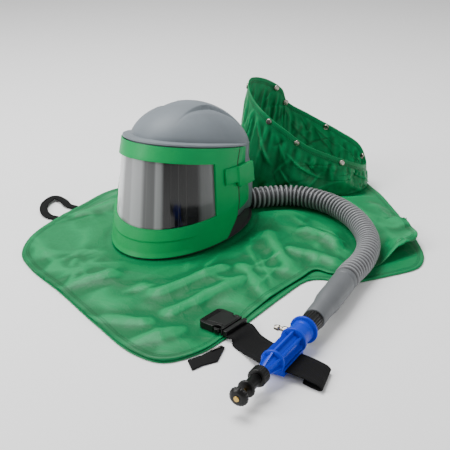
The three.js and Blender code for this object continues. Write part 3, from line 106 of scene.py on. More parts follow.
# Cape: shares of its width from the left and of its length from the front
CLOTH = 1.5
CAPE_WIDTH = 650.0
CAPE_LENGTH = 740.0
CAPE_LEFT = -330.0
CAPE_FRONT = -455.0
CAPE_TOP = 3.3
ON_CAPE = CAPE_TOP + 0.3
NECK_HOLE_INSET = 7.0
UPPER_OUTLINE = (
    (0.94, 0.855), (0.965, 0.76), (0.985, 0.63), (0.993, 0.53), (0.988, 0.475), (0.93, 0.428),
    (0.855, 0.372), (0.765, 0.343), (0.725, 0.362), (0.685, 0.322), (0.62, 0.25), (0.565, 0.176),
    (0.515, 0.1), (0.455, 0.032), (0.385, 0.001), (0.325, 0.03), (0.235, 0.134), (0.13, 0.27),
    (0.045, 0.37), (0.004, 0.45), (0.008, 0.535), (0.048, 0.635), (0.11, 0.735), (0.18, 0.83),
    (0.3, 0.9), (0.45, 0.95), (0.62, 0.992), (0.78, 1.0), (0.89, 0.955),
)
LOWER_OUTLINE = (
    (0.945, 0.85), (0.97, 0.75), (0.99, 0.62), (1.0, 0.52), (1.0, 0.44), (0.985, 0.395),
    (0.965, 0.372), (0.89, 0.338), (0.83, 0.315), (0.785, 0.302), (0.745, 0.322), (0.705, 0.32),
    (0.64, 0.25), (0.58, 0.172), (0.52, 0.096), (0.457, 0.03), (0.385, 0.0), (0.322, 0.03),
    (0.232, 0.1345), (0.127, 0.271), (0.043, 0.371), (0.002, 0.45), (0.007, 0.537), (0.047, 0.637),
    (0.109, 0.738), (0.18, 0.834), (0.3, 0.91), (0.45, 0.96), (0.62, 1.0), (0.78, 1.007),
    (0.9, 0.96),
)
# Folds: a ridge from one place to another, its half width as a share of CAPE_WIDTH, and its height
FOLD_HEIGHT = 11.0
FOLDS = (
    (0.12, 0.5, 0.02, 0.4, 0.024, 0.5), (0.11, 0.66, 0.2, 0.72, 0.022, 0.55),
    (0.11, 0.26, 0.24, 0.33, 0.018, 0.6), (0.19, 0.15, 0.33, 0.13, 0.018, 0.65),
    (0.33, 0.06, 0.45, 0.12, 0.018, 0.5), (0.36, 0.25, 0.5, 0.36, 0.02, 0.75),
    (0.39, 0.17, 0.55, 0.31, 0.018, 0.6), (0.55, 0.37, 0.6, 0.24, 0.018, 0.6),
    (0.62, 0.53, 0.66, 0.35, 0.022, 0.6), (0.72, 0.55, 0.79, 0.48, 0.018, 0.7),
    (0.67, 0.45, 0.78, 0.385, 0.018, 0.6), (0.93, 0.7, 0.97, 0.57, 0.024, 0.55),
    (0.9, 0.43, 1.0, 0.5, 0.05, 1.25),
)
# Fine creases: how many, between which shares of the cape, the place that they are turned towards and
# how much they stray from it, and their sizes
CREASES = {"count": 120, "across": (0.02, 0.98), "away": (0.02, 0.75), "aim": (40.0, 130.0), "stray": 0.55,
           "length": (40, 190), "width": (4.0, 10.0), "height": (0.8, 3.6), "seed": 11}
# Crumples: heading in degrees, length and depth of a wave, and the length of its sway
PLEATS = ((35, 74, 4.2, 160), (-28, 61, 3.4, 130), (78, 92, 3.6, 190), (8, 43, 1.8, 90),
          (120, 55, 2.2, 110))
# Where the cape starts to be free of what stands on it, and over how much it becomes so: shares of the
# helmet's and the collar's ovals, millimetres from the tube's wall and from the buckle's middle
FREE = {"helmet": (1.08, 0.3), "collar": (1.1, 0.3), "tube": (2.0, 25.0), "buckle": (46.0, 25.0)}
# The hem that stands up by itself at the right: its middle and reach
RAISED_HEM = (285.0, -115.0, 110.0)
# Elsewhere the folds die down towards the hem, to a share of their height
CALM = {"reach": 45.0, "share": 0.25}
HEM = {"width": 12.0, "rise": 0.45, "stitches": (7.0, 10.5), "thread": 0.6, "seam": (9.0, 2.6)}

# Collar: ellipse on the cape, its rim row by row, and the crumples of its wall
COLLAR_PLACE = (143.0, 190.0)
COLLAR_HALF = (128.0, 70.0)
COLLAR_HEIGHT = 205.0
COLLAR_BAND = 12.0
COLLAR_BAND_RISE = 0.35
GATHERS = {"count": 31, "depth": 1.7, "onset": 8.0, "reach": 0.22, "decay": 3.4}
FOOT_WAVE = {"count": 17, "depth": 2.2, "middle": 0.1, "spread": 0.09}
COLLAR_RIM = {
    "angle": (0, 26, 52, 76, 100, 118, 140, 162, 180, 200, 222, 244, 262, 284, 308, 334),
    "across": (0.985, 0.9, 0.6, 0.16, -0.18, -0.26, -0.46, -0.7, -0.775, -0.71, -0.5, -0.24, 0.04,
               0.36, 0.66, 0.9),
    "along": (0.07, 0.42, 0.78, 0.97, 0.93, 0.87, 0.76, 0.42, 0.0, -0.36, -0.72, -0.9, -0.97, -0.92,
              -0.76, -0.45),
    "height": (0.25, 0.37, 0.47, 0.61, 0.74, 0.86, 0.955, 1.01, 0.99, 0.88, 0.755, 0.64, 0.515,
               0.425, 0.345, 0.27),
}
COLLAR_CREASES = {"count": 120, "level": (0.1, 1.0), "lean": 14, "half": (0.1, 0.3), "width": (1.2, 4.0),
                  "height": 4.2, "seed": 5}
# Crumples: angle and height of the middle, their spreads, and the share of the depth, out or in
CRUMPLE_DEPTH = 9.0
CRUMPLES = (
    (352, 0.35, 16, 0.25, 0.3), (325, 0.55, 9, 0.3, -0.9), (305, 0.35, 10, 0.3, 0.9),
    (284, 0.45, 9, 0.3, -0.8), (262, 0.3, 9, 0.3, 1.0), (243, 0.45, 8, 0.3, -0.7),
    (222, 0.3, 10, 0.3, 0.8), (196, 0.4, 14, 0.35, 0.6), (120, 0.4, 14, 0.35, -0.6),
    (70, 0.35, 16, 0.35, 0.7),
)

# Breathing tube: its route, its rings, and the cuff
TUBE_ROUTE = (
    (58, 73.5), (82.6, 80.3), (101, 83.2), (119.7, 83.8), (138, 79), (155.5, 69.8), (171.5, 57.5),
    (185.8, 42.6), (200, 22.5), (211.2, -0.3), (220.8, -26.5), (226.9, -54.2), (230.2, -81.5),
    (231.1, -109.2), (229.6, -129.5), (226.3, -149), (221, -168.5), (214.5, -186.9), (204.5, -208.5),
)
TUBE_RADIUS = 19.0
TUBE_Z = 22.6
RING_PITCH = 9.0
INLET_TURN = math.radians(16.4)
SLEEVE_LAP = 12.0
RING_DEPTH = 3.9
CUFF_LENGTH = 134.0
CUFF_START = -30.0

# Turned pieces: radius and distance along the axis, from the valve's first flange or the cuff's end
TURNED = {
    "cuff": ((11.4, -134), (17.6, -134), (18.2, -132.8), (18.2, -124), (17.4, -122.6), (17.4, -119),
             (18.2, -117.6), (18.2, -58), (17.9, -52), (16, -38), (15.6, -34), (15.6, -1.0),
             (14.9, 0), (13.4, 0)),
    "nut": ((12, -36), (12, -28.5), (13.7, -28.5), (14.6, -27.4), (14.6, -1.4), (13.7, -0.3)),
    "body": ((13, 0), (19.0, 0), (19.8, 0.8), (19.8, 3.2), (19.0, 4), (15.3, 4), (15.3, 10),
             (14.8, 10.6), (14.8, 11.4), (15.3, 12), (15.3, 31), (17.5, 31), (18.2, 31.7),
             (18.2, 35.3), (17.5, 36), (10, 36), (10, 91), (15.6, 91), (16.2, 91.6), (16.2, 94.4),
             (15.6, 95), (10, 95), (6.6, 123), (0, 123)),
    "nipple": ((0, 15.6), (4.1, 15.6), (4.4, 16), (4.4, 24.3), (3.1, 25.4), (3.1, 29), (4.2, 30.4),
               (4.2, 31.6), (3.5, 36.7), (3.2, 37), (0, 37)),
    "collar": ((0, 123.3), (10.8, 123.3), (12.2, 124.8), (12.2, 137.4), (11.4, 138.3), (0, 138.3)),
    "bonnet": ((0, 138.6), (7.2, 138.6), (7.8, 139.4), (7.8, 160.2), (10.6, 161.2), (11.3, 162),
               (11.3, 164.2), (10.4, 165.2), (7.9, 165.6), (0, 165.6)),
    "stem": ((0, 165.9), (2.4, 165.9), (2.4, 172.9), (0, 172.9)),
    "knob": ((0, 173.2), (5.2, 173.2), (5.6, 175.5), (9.5, 177.5), (12.0, 179.2), (12.5, 180.6),
             (12.5, 182.4), (12.0, 183.6), (9.8, 185.8), (7.75, 187.2), (0, 187.2)),
    "cap": ((0, 187.5), (3.5, 187.5), (3.75, 187.9), (3.4, 188.6), (0, 188.7)),
}
NUT_RIBS = {"count": 24, "depth": 0.7, "from": -26.0, "to": -3.0}
KNOB_RIBS = {"count": 20, "depth": 0.6, "from": 178.5, "to": 184.0}
COLLAR_RIBS = {"count": 26, "depth": 0.5, "from": 126.0, "to": 136.5}
FINS = {"count": 5, "first": -18.0, "step": 54.0, "wall": 2.6}
FIN_OUTLINE = ((0, 32), (15.3, 32), (15.3, 90.5), (15.2, 92), (6.6, 123), (0, 123))
HOUSING = {"half": 15.0, "start": 35.0, "end": 92.0, "floor": -18.4, "ceiling": -8.0, "slot": (-15.4, -11.0)}
SLOT = (38.0, 89.0)
NIPPLE_STATION = 14.0

# Belt and buckle; the belt's run is in the valve's frame, in shares of its width, with its heading
BELT_WIDTH = 48.0
WEBBING = 2.0
BUCKLE_PLACE = (-3.0, -363.0)
BUCKLE_TURN = math.radians(-38)
BELT_LEAD = (24.5, 33.5)
BELT_LEAD_HEIGHT = 6.0
BELT_RUN = (
    (1.5, -0.75, 0.035, 22), (1.1, -0.53, 0.04, 26), (0.8, -0.35, 0.1, 24), (0.57, -0.16, 0.19, 14),
    (0.42, -0.05, 0.222, 5), (0.33, 0, 0.225, 0), (-0.3, 0, 0.225, 0), (-0.62, 0.02, 0.215, -4),
    (-0.95, 0.07, 0.2, -8), (-1.2, 0.13, 0.185, -10), (-1.29, 0.15, 0.15, -11),
    (-1.31, 0.15, 0.1, -11), (-1.25, 0.14, 0.05, -11), (-1.1, 0.1, 0.03, -11), (-0.7, 0.0, 0.028, -11),
)
# Loop at the left hem: shares of the cape, and heights in thicknesses of webbing
LEFT_LOOP = (
    (0.0499, 0.6511, 1.0), (0.028, 0.66, 1.2), (0.008, 0.69, 2.0), (0.004, 0.74, 2.6),
    (0.022, 0.775, 2.8), (0.05, 0.755, 2.2), (0.069, 0.728, 1.4), (0.0909, 0.7181, 1.0),
)
LOOP_WIDTH = 14.0

# Finishes: colour, roughness, and what else differs from a plain moulded surface
PLAIN_FINISHES = {
    "visor_green": ((0.0, 0.30, 0.08), 0.42, {"specular": 0.14, "grain": 0.01}),
    "shell_grey": ((0.17, 0.195, 0.215), 0.5, {"specular": 0.25, "grain": 0.015}),
    "rim_dark": ((0.022, 0.021, 0.022), 0.6, {"specular": 0.3, "grain": 0.03}),
    "cuff_rubber": ((0.115, 0.122, 0.13), 0.5, {"specular": 0.35, "grain": 0.03}),
    "valve_blue": ((0.0, 0.03, 0.52), 0.38, {"specular": 0.25, "grain": 0.01}),
    "black_plastic": ((0.003, 0.003, 0.003), 0.35, {"specular": 0.3, "grain": 0.02}),
    "nickel": ((0.33, 0.30, 0.26), 0.24, {"metallic": 1.0}),
    "brass": ((0.55, 0.36, 0.1), 0.28, {"metallic": 1.0}),
}
# The cloth's colour on the crests, and its painted shade in the creases; a random tone also moves between
# them
CLOTH_GREEN = (0.0, 0.245, 0.077)
CLOTH_SHADE = (0.0, 0.12, 0.036)
TUBE_GREY = (0.235, 0.24, 0.25)
# Painted shade: the tube's colour in the valleys between its rings
TUBE_VALLEY_SHADE = (0.035, 0.036, 0.038)
WEBBING_BLACK = (0.0025, 0.0025, 0.0026)

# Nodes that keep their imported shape: finish, width of their rounded edges, and names
KEPT = (
    ("visor_green", 0.8, ("side_strip_left", "side_strip_right")),
    ("visor_green", 1.6, ("visor_latch",)),
    ("black_plastic", 0.5, ("hinge_leaf_visor", "hinge_leaf_fixed")),
    ("rim_dark", 0.8, ("air_inlet",)),
    ("nickel", 0.7, tuple("snap_%d" % number for number in range(1, 9))),
    ("nickel", 0.4, ("tab_slide",)),
    ("webbing", 0.4, ("hem_tab",)),
)

# Studio: place, target, size and power of each light; the floor in metres; the camera
LAMPS = {
    "above": ((-0.5, 0.7, 2.3), (0, 0, 0), (1.5, 1.1), 74),
    "left": ((-1.9, -0.7, 1.3), (-0.1, 0.1, 0.1), (0.7, 1.5), 38),
    "right": ((1.9, -0.9, 1.0), (0, 0.1, 0.1), (0.6, 1.4), 10),
}
FLOOR = {"reach": 6.0, "drop": 0.0006, "grey": 0.93}
WORLD_STRENGTH = 0.5
CAMERA = {"lens": 73.6, "sensor": 36.0, "distance": 1.6, "tilt": math.radians(23)}


# Meshes

def turn_about_z(points, angle):
    """Points turned about Z: x cos - y sin, x sin + y cos."""
    x, y, z = np.moveaxis(np.asarray(points, float), -1, 0)
    c, s = math.cos(angle), math.sin(angle)
    return np.stack([x * c - y * s, x * s + y * c, z], -1)


def surface(name, points, attributes=None, closed=False, keep=None):
    """A mesh of quads over a grid of points (rows, columns, 3) in layout millimetres."""
    rows, columns = points.shape[:2]
    spans = columns if closed else columns - 1
    row, column = np.meshgrid(np.arange(rows - 1), np.arange(spans), indexing="ij")
    if keep is not None:
        chosen = keep[: rows - 1, :spans]
        row, column = row[chosen], column[chosen]
    right = (column + 1) % columns
    faces = np.stack([row * columns + column, row * columns + right,
                      (row + 1) * columns + right, (row + 1) * columns + column], -1).reshape(-1, 4)
    return polygons(name, points.reshape(-1, 3), faces, attributes)


def linked(name, vertices, faces, attributes=None, crisp=True):
    """A smooth-shaded object in the scene from vertices in metres; crisp keeps its sharp edges sharp."""
    mesh = bpy.data.meshes.new(name)
    mesh.from_pydata(vertices, [], faces)
    for key, values in (attributes or {}).items():
        layer = mesh.attributes.new(key, "FLOAT", "POINT")
        layer.data.foreach_set("value", values)
    mesh.shade_smooth()
    if crisp:
        mesh.set_sharp_from_angle(angle=CRISP)
    obj = bpy.data.objects.new(name, mesh)
    bpy.context.scene.collection.objects.link(obj)
    return obj


def polygons(name, points, faces, attributes=None):
    """An object of quads from layout millimetres, its unused points dropped, moved into the row frame."""
    used, index = np.unique(faces, return_inverse=True)
    marks = {key: np.asarray(values, float).reshape(-1)[used] for key, values in (attributes or {}).items()}
    place = (points[used] + LAYOUT) * MM
    return linked(name, place.tolist(), index.reshape(faces.shape).tolist(), marks)


def prism(name, corners, crisp=True):
    """A solid between two outlines of as many corners, one after the other in the list."""
    count = len(corners) // 2
    ring = [(i, (i + 1) % count, (i + 1) % count + count, i + count) for i in range(count)]
    caps = [tuple(range(count))[::-1], tuple(range(count, 2 * count))]
    return linked(name, ((corners + LAYOUT) * MM).tolist(), caps + ring, crisp=crisp)


def thicken(obj, thickness, offset=-1.0):
    """A wall of the given millimetres behind the surface, or about it when offset is 0."""
    wall = obj.modifiers.new("wall", "SOLIDIFY")
    wall.thickness = thickness * MM
    wall.offset = offset
    wall.use_even_offset = True
    return obj


def soften(obj, width, angle=35.0, segments=2):
    """Rounds the edges sharper than an angle."""
    edge = obj.modifiers.new("edges", "BEVEL")
    edge.width = width * MM
    edge.segments = segments
    edge.limit_method = "ANGLE"
    edge.angle_limit = math.radians(angle)
    edge.harden_normals = True
    return obj


def spline(points, closed=False):
    """A function of t, in spans, through the points: centripetal Catmull-Rom, worked out as the
    pyramid of straight blends between knots spaced by the square root of the distance."""
    points = np.asarray(points, float)
    count = len(points)
    if closed:
        padded = points[np.arange(-1, count + 2) % count]
        spans = count
    else:
        first = 2 * points[0] - points[1]
        last = 2 * points[-1] - points[-2]
        padded = np.vstack([first, points, last])
        spans = count - 1

    def at(t):
        """Points at t: whole numbers are the given points, in order."""
        t = np.asarray(t, float)
        t = t % spans if closed else np.clip(t, 0, spans)
        span = np.minimum(t.astype(int), spans - 1)
        p = [padded[span + step] for step in range(4)]
        gaps = [np.sqrt(np.linalg.norm(b - a, axis=-1)) for a, b in zip(p, p[1:])]
        k = [np.zeros_like(gaps[0])]
        for gap in gaps:
            k.append(k[-1] + np.maximum(gap, 1e-6))
        u = k[1] + (t - span) * (k[2] - k[1])

        def blend(a, b, start, end):
            share = ((u - start) / (end - start))[..., None]
            return a + (b - a) * share

        a1, a2, a3 = (blend(p[i], p[i + 1], k[i], k[i + 1]) for i in range(3))
        b1, b2 = blend(a1, a2, k[0], k[2]), blend(a2, a3, k[1], k[3])
        return blend(b1, b2, k[1], k[2])

    return at, spans


def even(points, count, closed=False, dense=4000):
    """Points spaced evenly by length along the spline through the given ones."""
    at, spans = spline(points, closed)
    fine = at(np.linspace(0, spans, dense + 1) if not closed else np.linspace(0, spans - 1e-9, dense + 1))
    run = np.concatenate([[0], np.cumsum(np.linalg.norm(np.diff(fine, axis=0), axis=1))])
    places = np.linspace(0, run[-1], count + 1)[:-1] if closed else np.linspace(0, run[-1], count)
    return np.stack([np.interp(places, run, fine[:, axis]) for axis in range(3)], -1), run[-1]


def relief(height, reach=(2, 5), full=1.6):
    """How far each place stands over its neighbours: 0 in a crease, 1 on a crest, 0.5 where flat. The
    neighbours are reach cells away, and full millimetres lie between 0 and 1. The cloth's colour takes
    it as the mask for painted shade in creases and painted light on crests."""
    around = sum(np.roll(height, step * side, axis=1) for step in reach for side in (-1, 1))
    padded = np.pad(height, ((max(reach), max(reach)), (0, 0)), mode="edge")
    rows = height.shape[0]
    for step in reach:
        for start in (max(reach) - step, max(reach) + step):
            around = around + padded[start:start + rows]
    return np.clip(0.5 + (height - around / (4 * len(reach))) / full, 0, 1)


def smoothstep(value):
    """0 below 0, 1 above 1, and 3 v^2 - 2 v^3 between."""
    value = np.clip(value, 0, 1)
    return value * value * (3 - 2 * value)


def passed(value, start, over):
    """How far a value has come past a start, as a share of the length over."""
    return np.clip((value - start) / over, 0, 1)


# Materials

class Value:
    """A socket that adds, subtracts and multiplies as a number does."""

    def __init__(self, graph, socket):
        self.graph = graph
        self.socket = socket

    def math(self, operation, *others):
        node = self.graph.node("ShaderNodeMath", {"operation": operation})
        for index, value in enumerate((self,) + others):
            self.graph.feed(node.inputs[index], value)
        return Value(self.graph, node.outputs[0])

    def __add__(self, other):
        return self.math("ADD", other)

    def __mul__(self, other):
        return self.math("MULTIPLY", other)

    def __sub__(self, other):
        return self.math("SUBTRACT", other)

    def __rsub__(self, other):
        return self * -1.0 + other

    __radd__ = __add__
    __rmul__ = __mul__

    def sine(self):
        return self.math("SINE")

    def size(self):
        return self.math("ABSOLUTE")

    def under(self, limit):
        return self.math("LESS_THAN", limit)

    def over(self, limit):
        return self.math("GREATER_THAN", limit)


class Graph:
    """A material with one Principled shader, and its nodes made by one method."""

    def __init__(self, name, color, roughness, metallic=0.0, specular=0.5):
        self.material = bpy.data.materials.new(name)
        self.material.use_nodes = True
        self.nodes = self.material.node_tree.nodes
        self.links = self.material.node_tree.links
        self.shader = self.nodes["Principled BSDF"]
        self.set("Base Color", (*color, 1.0))
        self.set("Roughness", roughness)
        self.set("Metallic", metallic)
        self.set("Specular IOR Level", specular)

    def node(self, kind, settings=None, **inputs):
        """Adds a node: its settings first, then the values or links of its sockets."""
        made = self.nodes.new(kind)
        for key, value in (settings or {}).items():
            setattr(made, key, value)
        for key, value in inputs.items():
            self.feed(made.inputs[key.replace("_", " ")], value)
        return made

    def feed(self, socket, value):
        """Links a socket to a value's, or sets it to a number or colour."""
        if isinstance(value, Value):
            self.links.new(value.socket, socket)
        elif isinstance(value, bpy.types.NodeSocket):
            self.links.new(value, socket)
        else:
            socket.default_value = value

    def set(self, name, value):
        self.feed(self.shader.inputs[name], value)

    def place(self):
        return self.node("ShaderNodeTexCoord").outputs["Object"]

    def noise(self, scale, detail=3.0, roughness=0.5, distortion=0.0):
        made = self.node("ShaderNodeTexNoise", Vector=self.place(), Scale=scale, Detail=detail,
                         Roughness=roughness, Distortion=distortion)
        return Value(self, made.outputs["Fac"])

    def facets(self, scale):
        """Flat-sided crumples: distance from the nearest of scattered points, bent by noise."""
        bend = self.node("ShaderNodeTexNoise", Vector=self.place(), Scale=scale * 0.6, Detail=2.0)
        sway = self.node("ShaderNodeVectorMath", {"operation": "SCALE"})
        self.feed(sway.inputs[0], bend.outputs["Color"])
        sway.inputs["Scale"].default_value = 0.9 / scale
        shifted = self.node("ShaderNodeVectorMath", {"operation": "ADD"})
        self.feed(shifted.inputs[0], self.place())
        self.feed(shifted.inputs[1], sway.outputs[0])
        cells = self.node("ShaderNodeTexVoronoi", {"feature": "F1"}, Vector=shifted.outputs[0], Scale=scale)
        return Value(self, cells.outputs["Distance"]) * 0.5

    def attribute(self, name):
        return Value(self, self.node("ShaderNodeAttribute", {"attribute_name": name}).outputs["Fac"])

    def mix(self, factor, first, second):
        """Blend of two colours, or of a link and a colour."""
        made = self.node("ShaderNodeMix", {"data_type": "RGBA"})
        self.feed(made.inputs[0], factor)
        self.feed(made.inputs[6], (*first, 1.0) if isinstance(first, tuple) else first)
        self.feed(made.inputs[7], (*second, 1.0) if isinstance(second, tuple) else second)
        return made.outputs[2]

    def bump(self, height, distance, strength=1.0):
        """Relief on the whole surface, its full depth given in metres."""
        made = self.node("ShaderNodeBump", Strength=strength, Distance=distance, Height=height)
        self.set("Normal", made.outputs["Normal"])


def plain(name, color, roughness, metallic=0.0, specular=0.5, grain=0.0, scale=900.0):
    """A moulded or machined surface: its colour, roughness and fine grain varied by noise."""
    graph = Graph(name, color, roughness, metallic, specular)
    patch = graph.noise(scale / 40, 4.0)
    darker, paler = (tuple(c * share for c in color) for share in (0.86, 1.1))
    graph.set("Base Color", graph.mix(patch, darker, paler))
    graph.set("Roughness", roughness + (graph.noise(scale / 12) - 0.5) * 0.14)
    if grain:
        graph.bump(graph.noise(scale, 2.0), grain * MM)
    return graph.material


def cloth_material(name, color, deep):
    """Coated nylon: crumples and weave as bump, painted shade in the creases and painted light on the
    crests, and a hem with two lines of stitches.
    """
    graph = Graph(name, color, 0.5, specular=0.22)
    broad = graph.noise(7.0, 4.0, 0.6, distortion=0.5)
    edge = graph.attribute("edge")
    along = graph.attribute("along")
    dash = (along * 2.1).sine().over(-0.35)
    line = 0.0
    for place in HEM["stitches"]:
        line = (edge - place).size().under(HEM["thread"]) + line
    middle, half = HEM["seam"]
    seam = (edge - middle).size().under(half)
    # Painted shade and light: darker in the creases and paler on the crests, mixed with a random tone
    crest = graph.attribute("crest")
    tone_and_shade = graph.mix(crest * 1.3 + broad * 0.9 - 0.6, deep, color)
    dark = tuple(share * 0.3 for share in deep)
    graph.set("Base Color", graph.mix(line * dash * 0.5 + seam * 0.16, tone_and_shade, dark))
    graph.set("Roughness", 0.4 + broad * 0.18)
    facets = graph.facets(9.0) * 1.2 + graph.facets(21.0) * 0.5
    crinkle = graph.noise(46.0, 5.0, 0.6, distortion=0.8)
    weave = graph.noise(1400.0, 1.0)
    graph.bump(facets + crinkle * 0.1 + weave * 0.004 - line * 0.06, 15.0 * MM, 0.75)
    return graph.material


def webbing_material(name, color):
    """Woven webbing: ribs across the strap and a herringbone of fine lines along it."""
    graph = Graph(name, color, 0.8, specular=0.15)
    along = graph.attribute("along")
    across = graph.attribute("edge")
    rib = (along * 3.4).sine() * 0.5 + 0.5
    twill = ((along + across) * 5.0).sine() * 0.5
    band = (across - 6.0).size().under(0.8)
    worn = tuple(3 * c + 0.01 for c in color)
    graph.set("Base Color", graph.mix(rib * 0.35 + band * 0.2, color, worn))
    graph.bump(rib + twill * 0.4 - band * 0.6, 0.35 * MM)
    return graph.material


def tube_material(name, color, valley_shade):
    """Corrugated plastic: painted shade, darker in the valleys between its rings."""
    graph = Graph(name, color, 0.42, specular=0.4)
    graph.set("Base Color", graph.mix(graph.attribute("ring"), valley_shade, color))
    return graph.material


def lens_material():
    """Dark polished lens: pale bands of painted reflection across its width, with fine pale streaks."""
    graph = Graph("lens", (0.012, 0.013, 0.015), 0.08, specular=0.42)
    place = graph.attribute("across")
    ramp = graph.node("ShaderNodeValToRGB", Fac=place)
    stops = ramp.color_ramp.elements
    for index, (where, grey) in enumerate(LENS_REFLECTION_BANDS):
        stop = stops[index] if index < 2 else stops.new(where)
        stop.position = where
        stop.color = (grey, grey, grey * 1.03, 1.0)
    streak = (place * 190.0).sine() * (place * 73.0).sine()
    graph.set("Base Color", graph.mix((streak - 0.7) * 0.25, ramp.outputs["Color"], (0.3, 0.29, 0.28)))
    return graph.material


MATERIALS = {}


def make_materials():
    """Every finish of the hood, by its slot in the record."""
    for name, (color, roughness, options) in PLAIN_FINISHES.items():
        MATERIALS[name] = plain(name, color, roughness, **options)
    MATERIALS["lens"] = lens_material()
    MATERIALS["cape_cloth"] = cloth_material("cape_cloth", CLOTH_GREEN, CLOTH_SHADE)
    MATERIALS["tube_grey"] = tube_material("tube_grey", TUBE_GREY, TUBE_VALLEY_SHADE)
    MATERIALS["webbing"] = webbing_material("webbing", WEBBING_BLACK)


def painted(obj, slot):
    """Gives a piece the material of its slot."""
    obj.data.materials.clear()
    obj.data.materials.append(MATERIALS[slot])


def finished(obj, slot, body, nodes=()):
    """Gives a piece its material and the body it rides on, and hides the nodes it stands for."""
    painted(obj, slot)
    if nodes:
        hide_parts(*nodes)
    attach(obj, body)
    return obj


# Helmet

def level_value(key, position):
    """A value of the levels, read between them in straight lines."""
    return np.interp(position, (0, 1, 2, 3), LEVELS[key])


def height_at(height, rise, bend, angle):
    """A level's height: its own, plus rise times the lift 1 - cos, plus bend times the lift squared."""
    lift = 1 - np.cos(angle)
    return VISOR_HEIGHT * (height + rise * lift + bend * lift * lift)


def level_height(position, angle):
    """Height of the visor's face at a level and an angle."""
    return height_at(*(level_value(key, position) for key in ("height", "rise", "bend")), angle)


def rim_height(angle):
    """Height of the helmet's foot at an angle."""
    return height_at(RIM_LEVEL["height"], RIM_LEVEL["rise"], RIM_LEVEL["bend"], angle)


def oval(side, front, rear, angle, inset, height):
    """A point of the helmet's oval: half width times sin, reach times -cos, at a height."""
    reach = np.where(np.cos(angle) >= 0, FRONT * front, REAR * rear) - inset
    across = (HALF_WIDTH * side - inset) * np.sin(angle)
    return np.stack(np.broadcast_arrays(across, -reach * np.cos(angle), height), -1)


def level_point(position, angle, inset, height=None):
    """A point of the visor's outer face, level by level, moved in by inset."""
    if height is None:
        height = level_height(position, angle)
    return oval(*(level_value(key, position) for key in ("side", "front", "rear")), angle, inset, height)


def rounded_level(position, angle, inset, reach=0.05):
    """level_point with the creases between the levels rounded off."""
    near = [level_point(np.clip(position + step * reach, 0, 3), angle, inset) for step in (-1, 0, 0, 1)]
    return sum(near) / 4


def helmet_place(points):
    """Helmet frame to layout: lean about X, turn about Z, move."""
    x, y, z = np.moveaxis(points, -1, 0)
    c, s = math.cos(HELMET_LEAN), math.sin(HELMET_LEAN)
    leaned = np.stack([x, y * c - z * s, y * s + z * c], -1)
    return turn_about_z(leaned, HELMET_TURN) + HELMET_PLACE


def recess_depth(across, along):
    """Depth of the crown's recess: a steep step at the middle band, easing out to its outer edge."""
    band, outer, depth = (np.interp(along, RECESS["along"], RECESS[key])
                          for key in ("band", "outer", "depth"))
    out = np.abs(across) - band
    return depth * smoothstep(out / 3.0) * np.clip(1 - out / np.maximum(outer - band, 1), 0, 1) ** 1.3


def dome_point(angle, radius, inset):
    """The dome: an oval at a share of its foot, up (1 - radius^2) to the power of about a half."""
    out = smoothstep(passed(np.abs(np.degrees(angle)), DOME_WIDENS["from"], DOME_WIDENS["over"]))
    side = DOME_FOOT["side"] + DOME_WIDENS["side"] * out
    ahead = DOME_FOOT["front"] + DOME_WIDENS["front"] * out
    reach = np.where(np.cos(angle) >= 0, FRONT * ahead, REAR * DOME_FOOT["rear"])
    across = radius * np.sin(angle) * (HALF_WIDTH * side - inset)
    along = -radius * np.cos(angle) * (reach - inset)
    foot = level_height(3, angle) + LEDGE_CLEARANCE + LEDGE_THICKNESS + 1
    front = level_height(3, 0.0) + LEDGE_CLEARANCE + LEDGE_THICKNESS + 1
    rise = DOME_HEIGHT * np.maximum(1 - radius ** 2, 0) ** (0.5 + 0.1 * radius ** 4)
    height = front + (foot - front) * radius ** 2 + rise - inset - recess_depth(across, along)
    return np.stack(np.broadcast_arrays(across, along, height), -1)


def helmet_shell():
    """Rows from the band up the wall, over the ledge and up the dome; the window is left open."""
    angle = np.linspace(-math.pi, math.pi, 289)[:-1]
    degrees = np.degrees(angle)
    past = smoothstep(passed(np.abs(degrees), SHELL_WIDENS["from"], SHELL_WIDENS["over"]))
    inset = SHELL_INSET + (REAR_INSET - SHELL_INSET) * past
    rows = [level_point(BAND_LEVEL, angle, inset, rim_height(angle) + RIM_BAND + BAND_GAP)]
    window_rows = np.linspace(1, 2, 13)
    for position in np.concatenate([window_rows, np.linspace(2.1, 3, 8)]):
        rows.append(rounded_level(position, angle, inset))
    under = level_height(3, angle) + LEDGE_CLEARANCE
    rows.append(level_point(3, angle, inset, under))
    for out, up in LEDGE_ROWS:
        rows.append(level_point(3, angle, REAR_INSET + out, under + up))
    for radius in np.concatenate([[1.012, 1.0], 1 - np.linspace(0.02, 1, 60) ** 1.25 * 0.999]):
        rows.append(dome_point(angle, radius, 0.0))
    grid = np.array(rows)
    keep = np.ones(grid.shape[:2], bool)
    window = (degrees >= -SHELL_WINDOW_ANGLE - 1e-6) & (degrees < SHELL_WINDOW_ANGLE - 1e-6)
    keep[1:len(window_rows), window] = False
    shell = surface("shell", helmet_place(grid), closed=True, keep=keep)
    thicken(shell, SHELL_WALL)
    return finished(shell, "shell_grey", "hood", ("helmet_shell",))


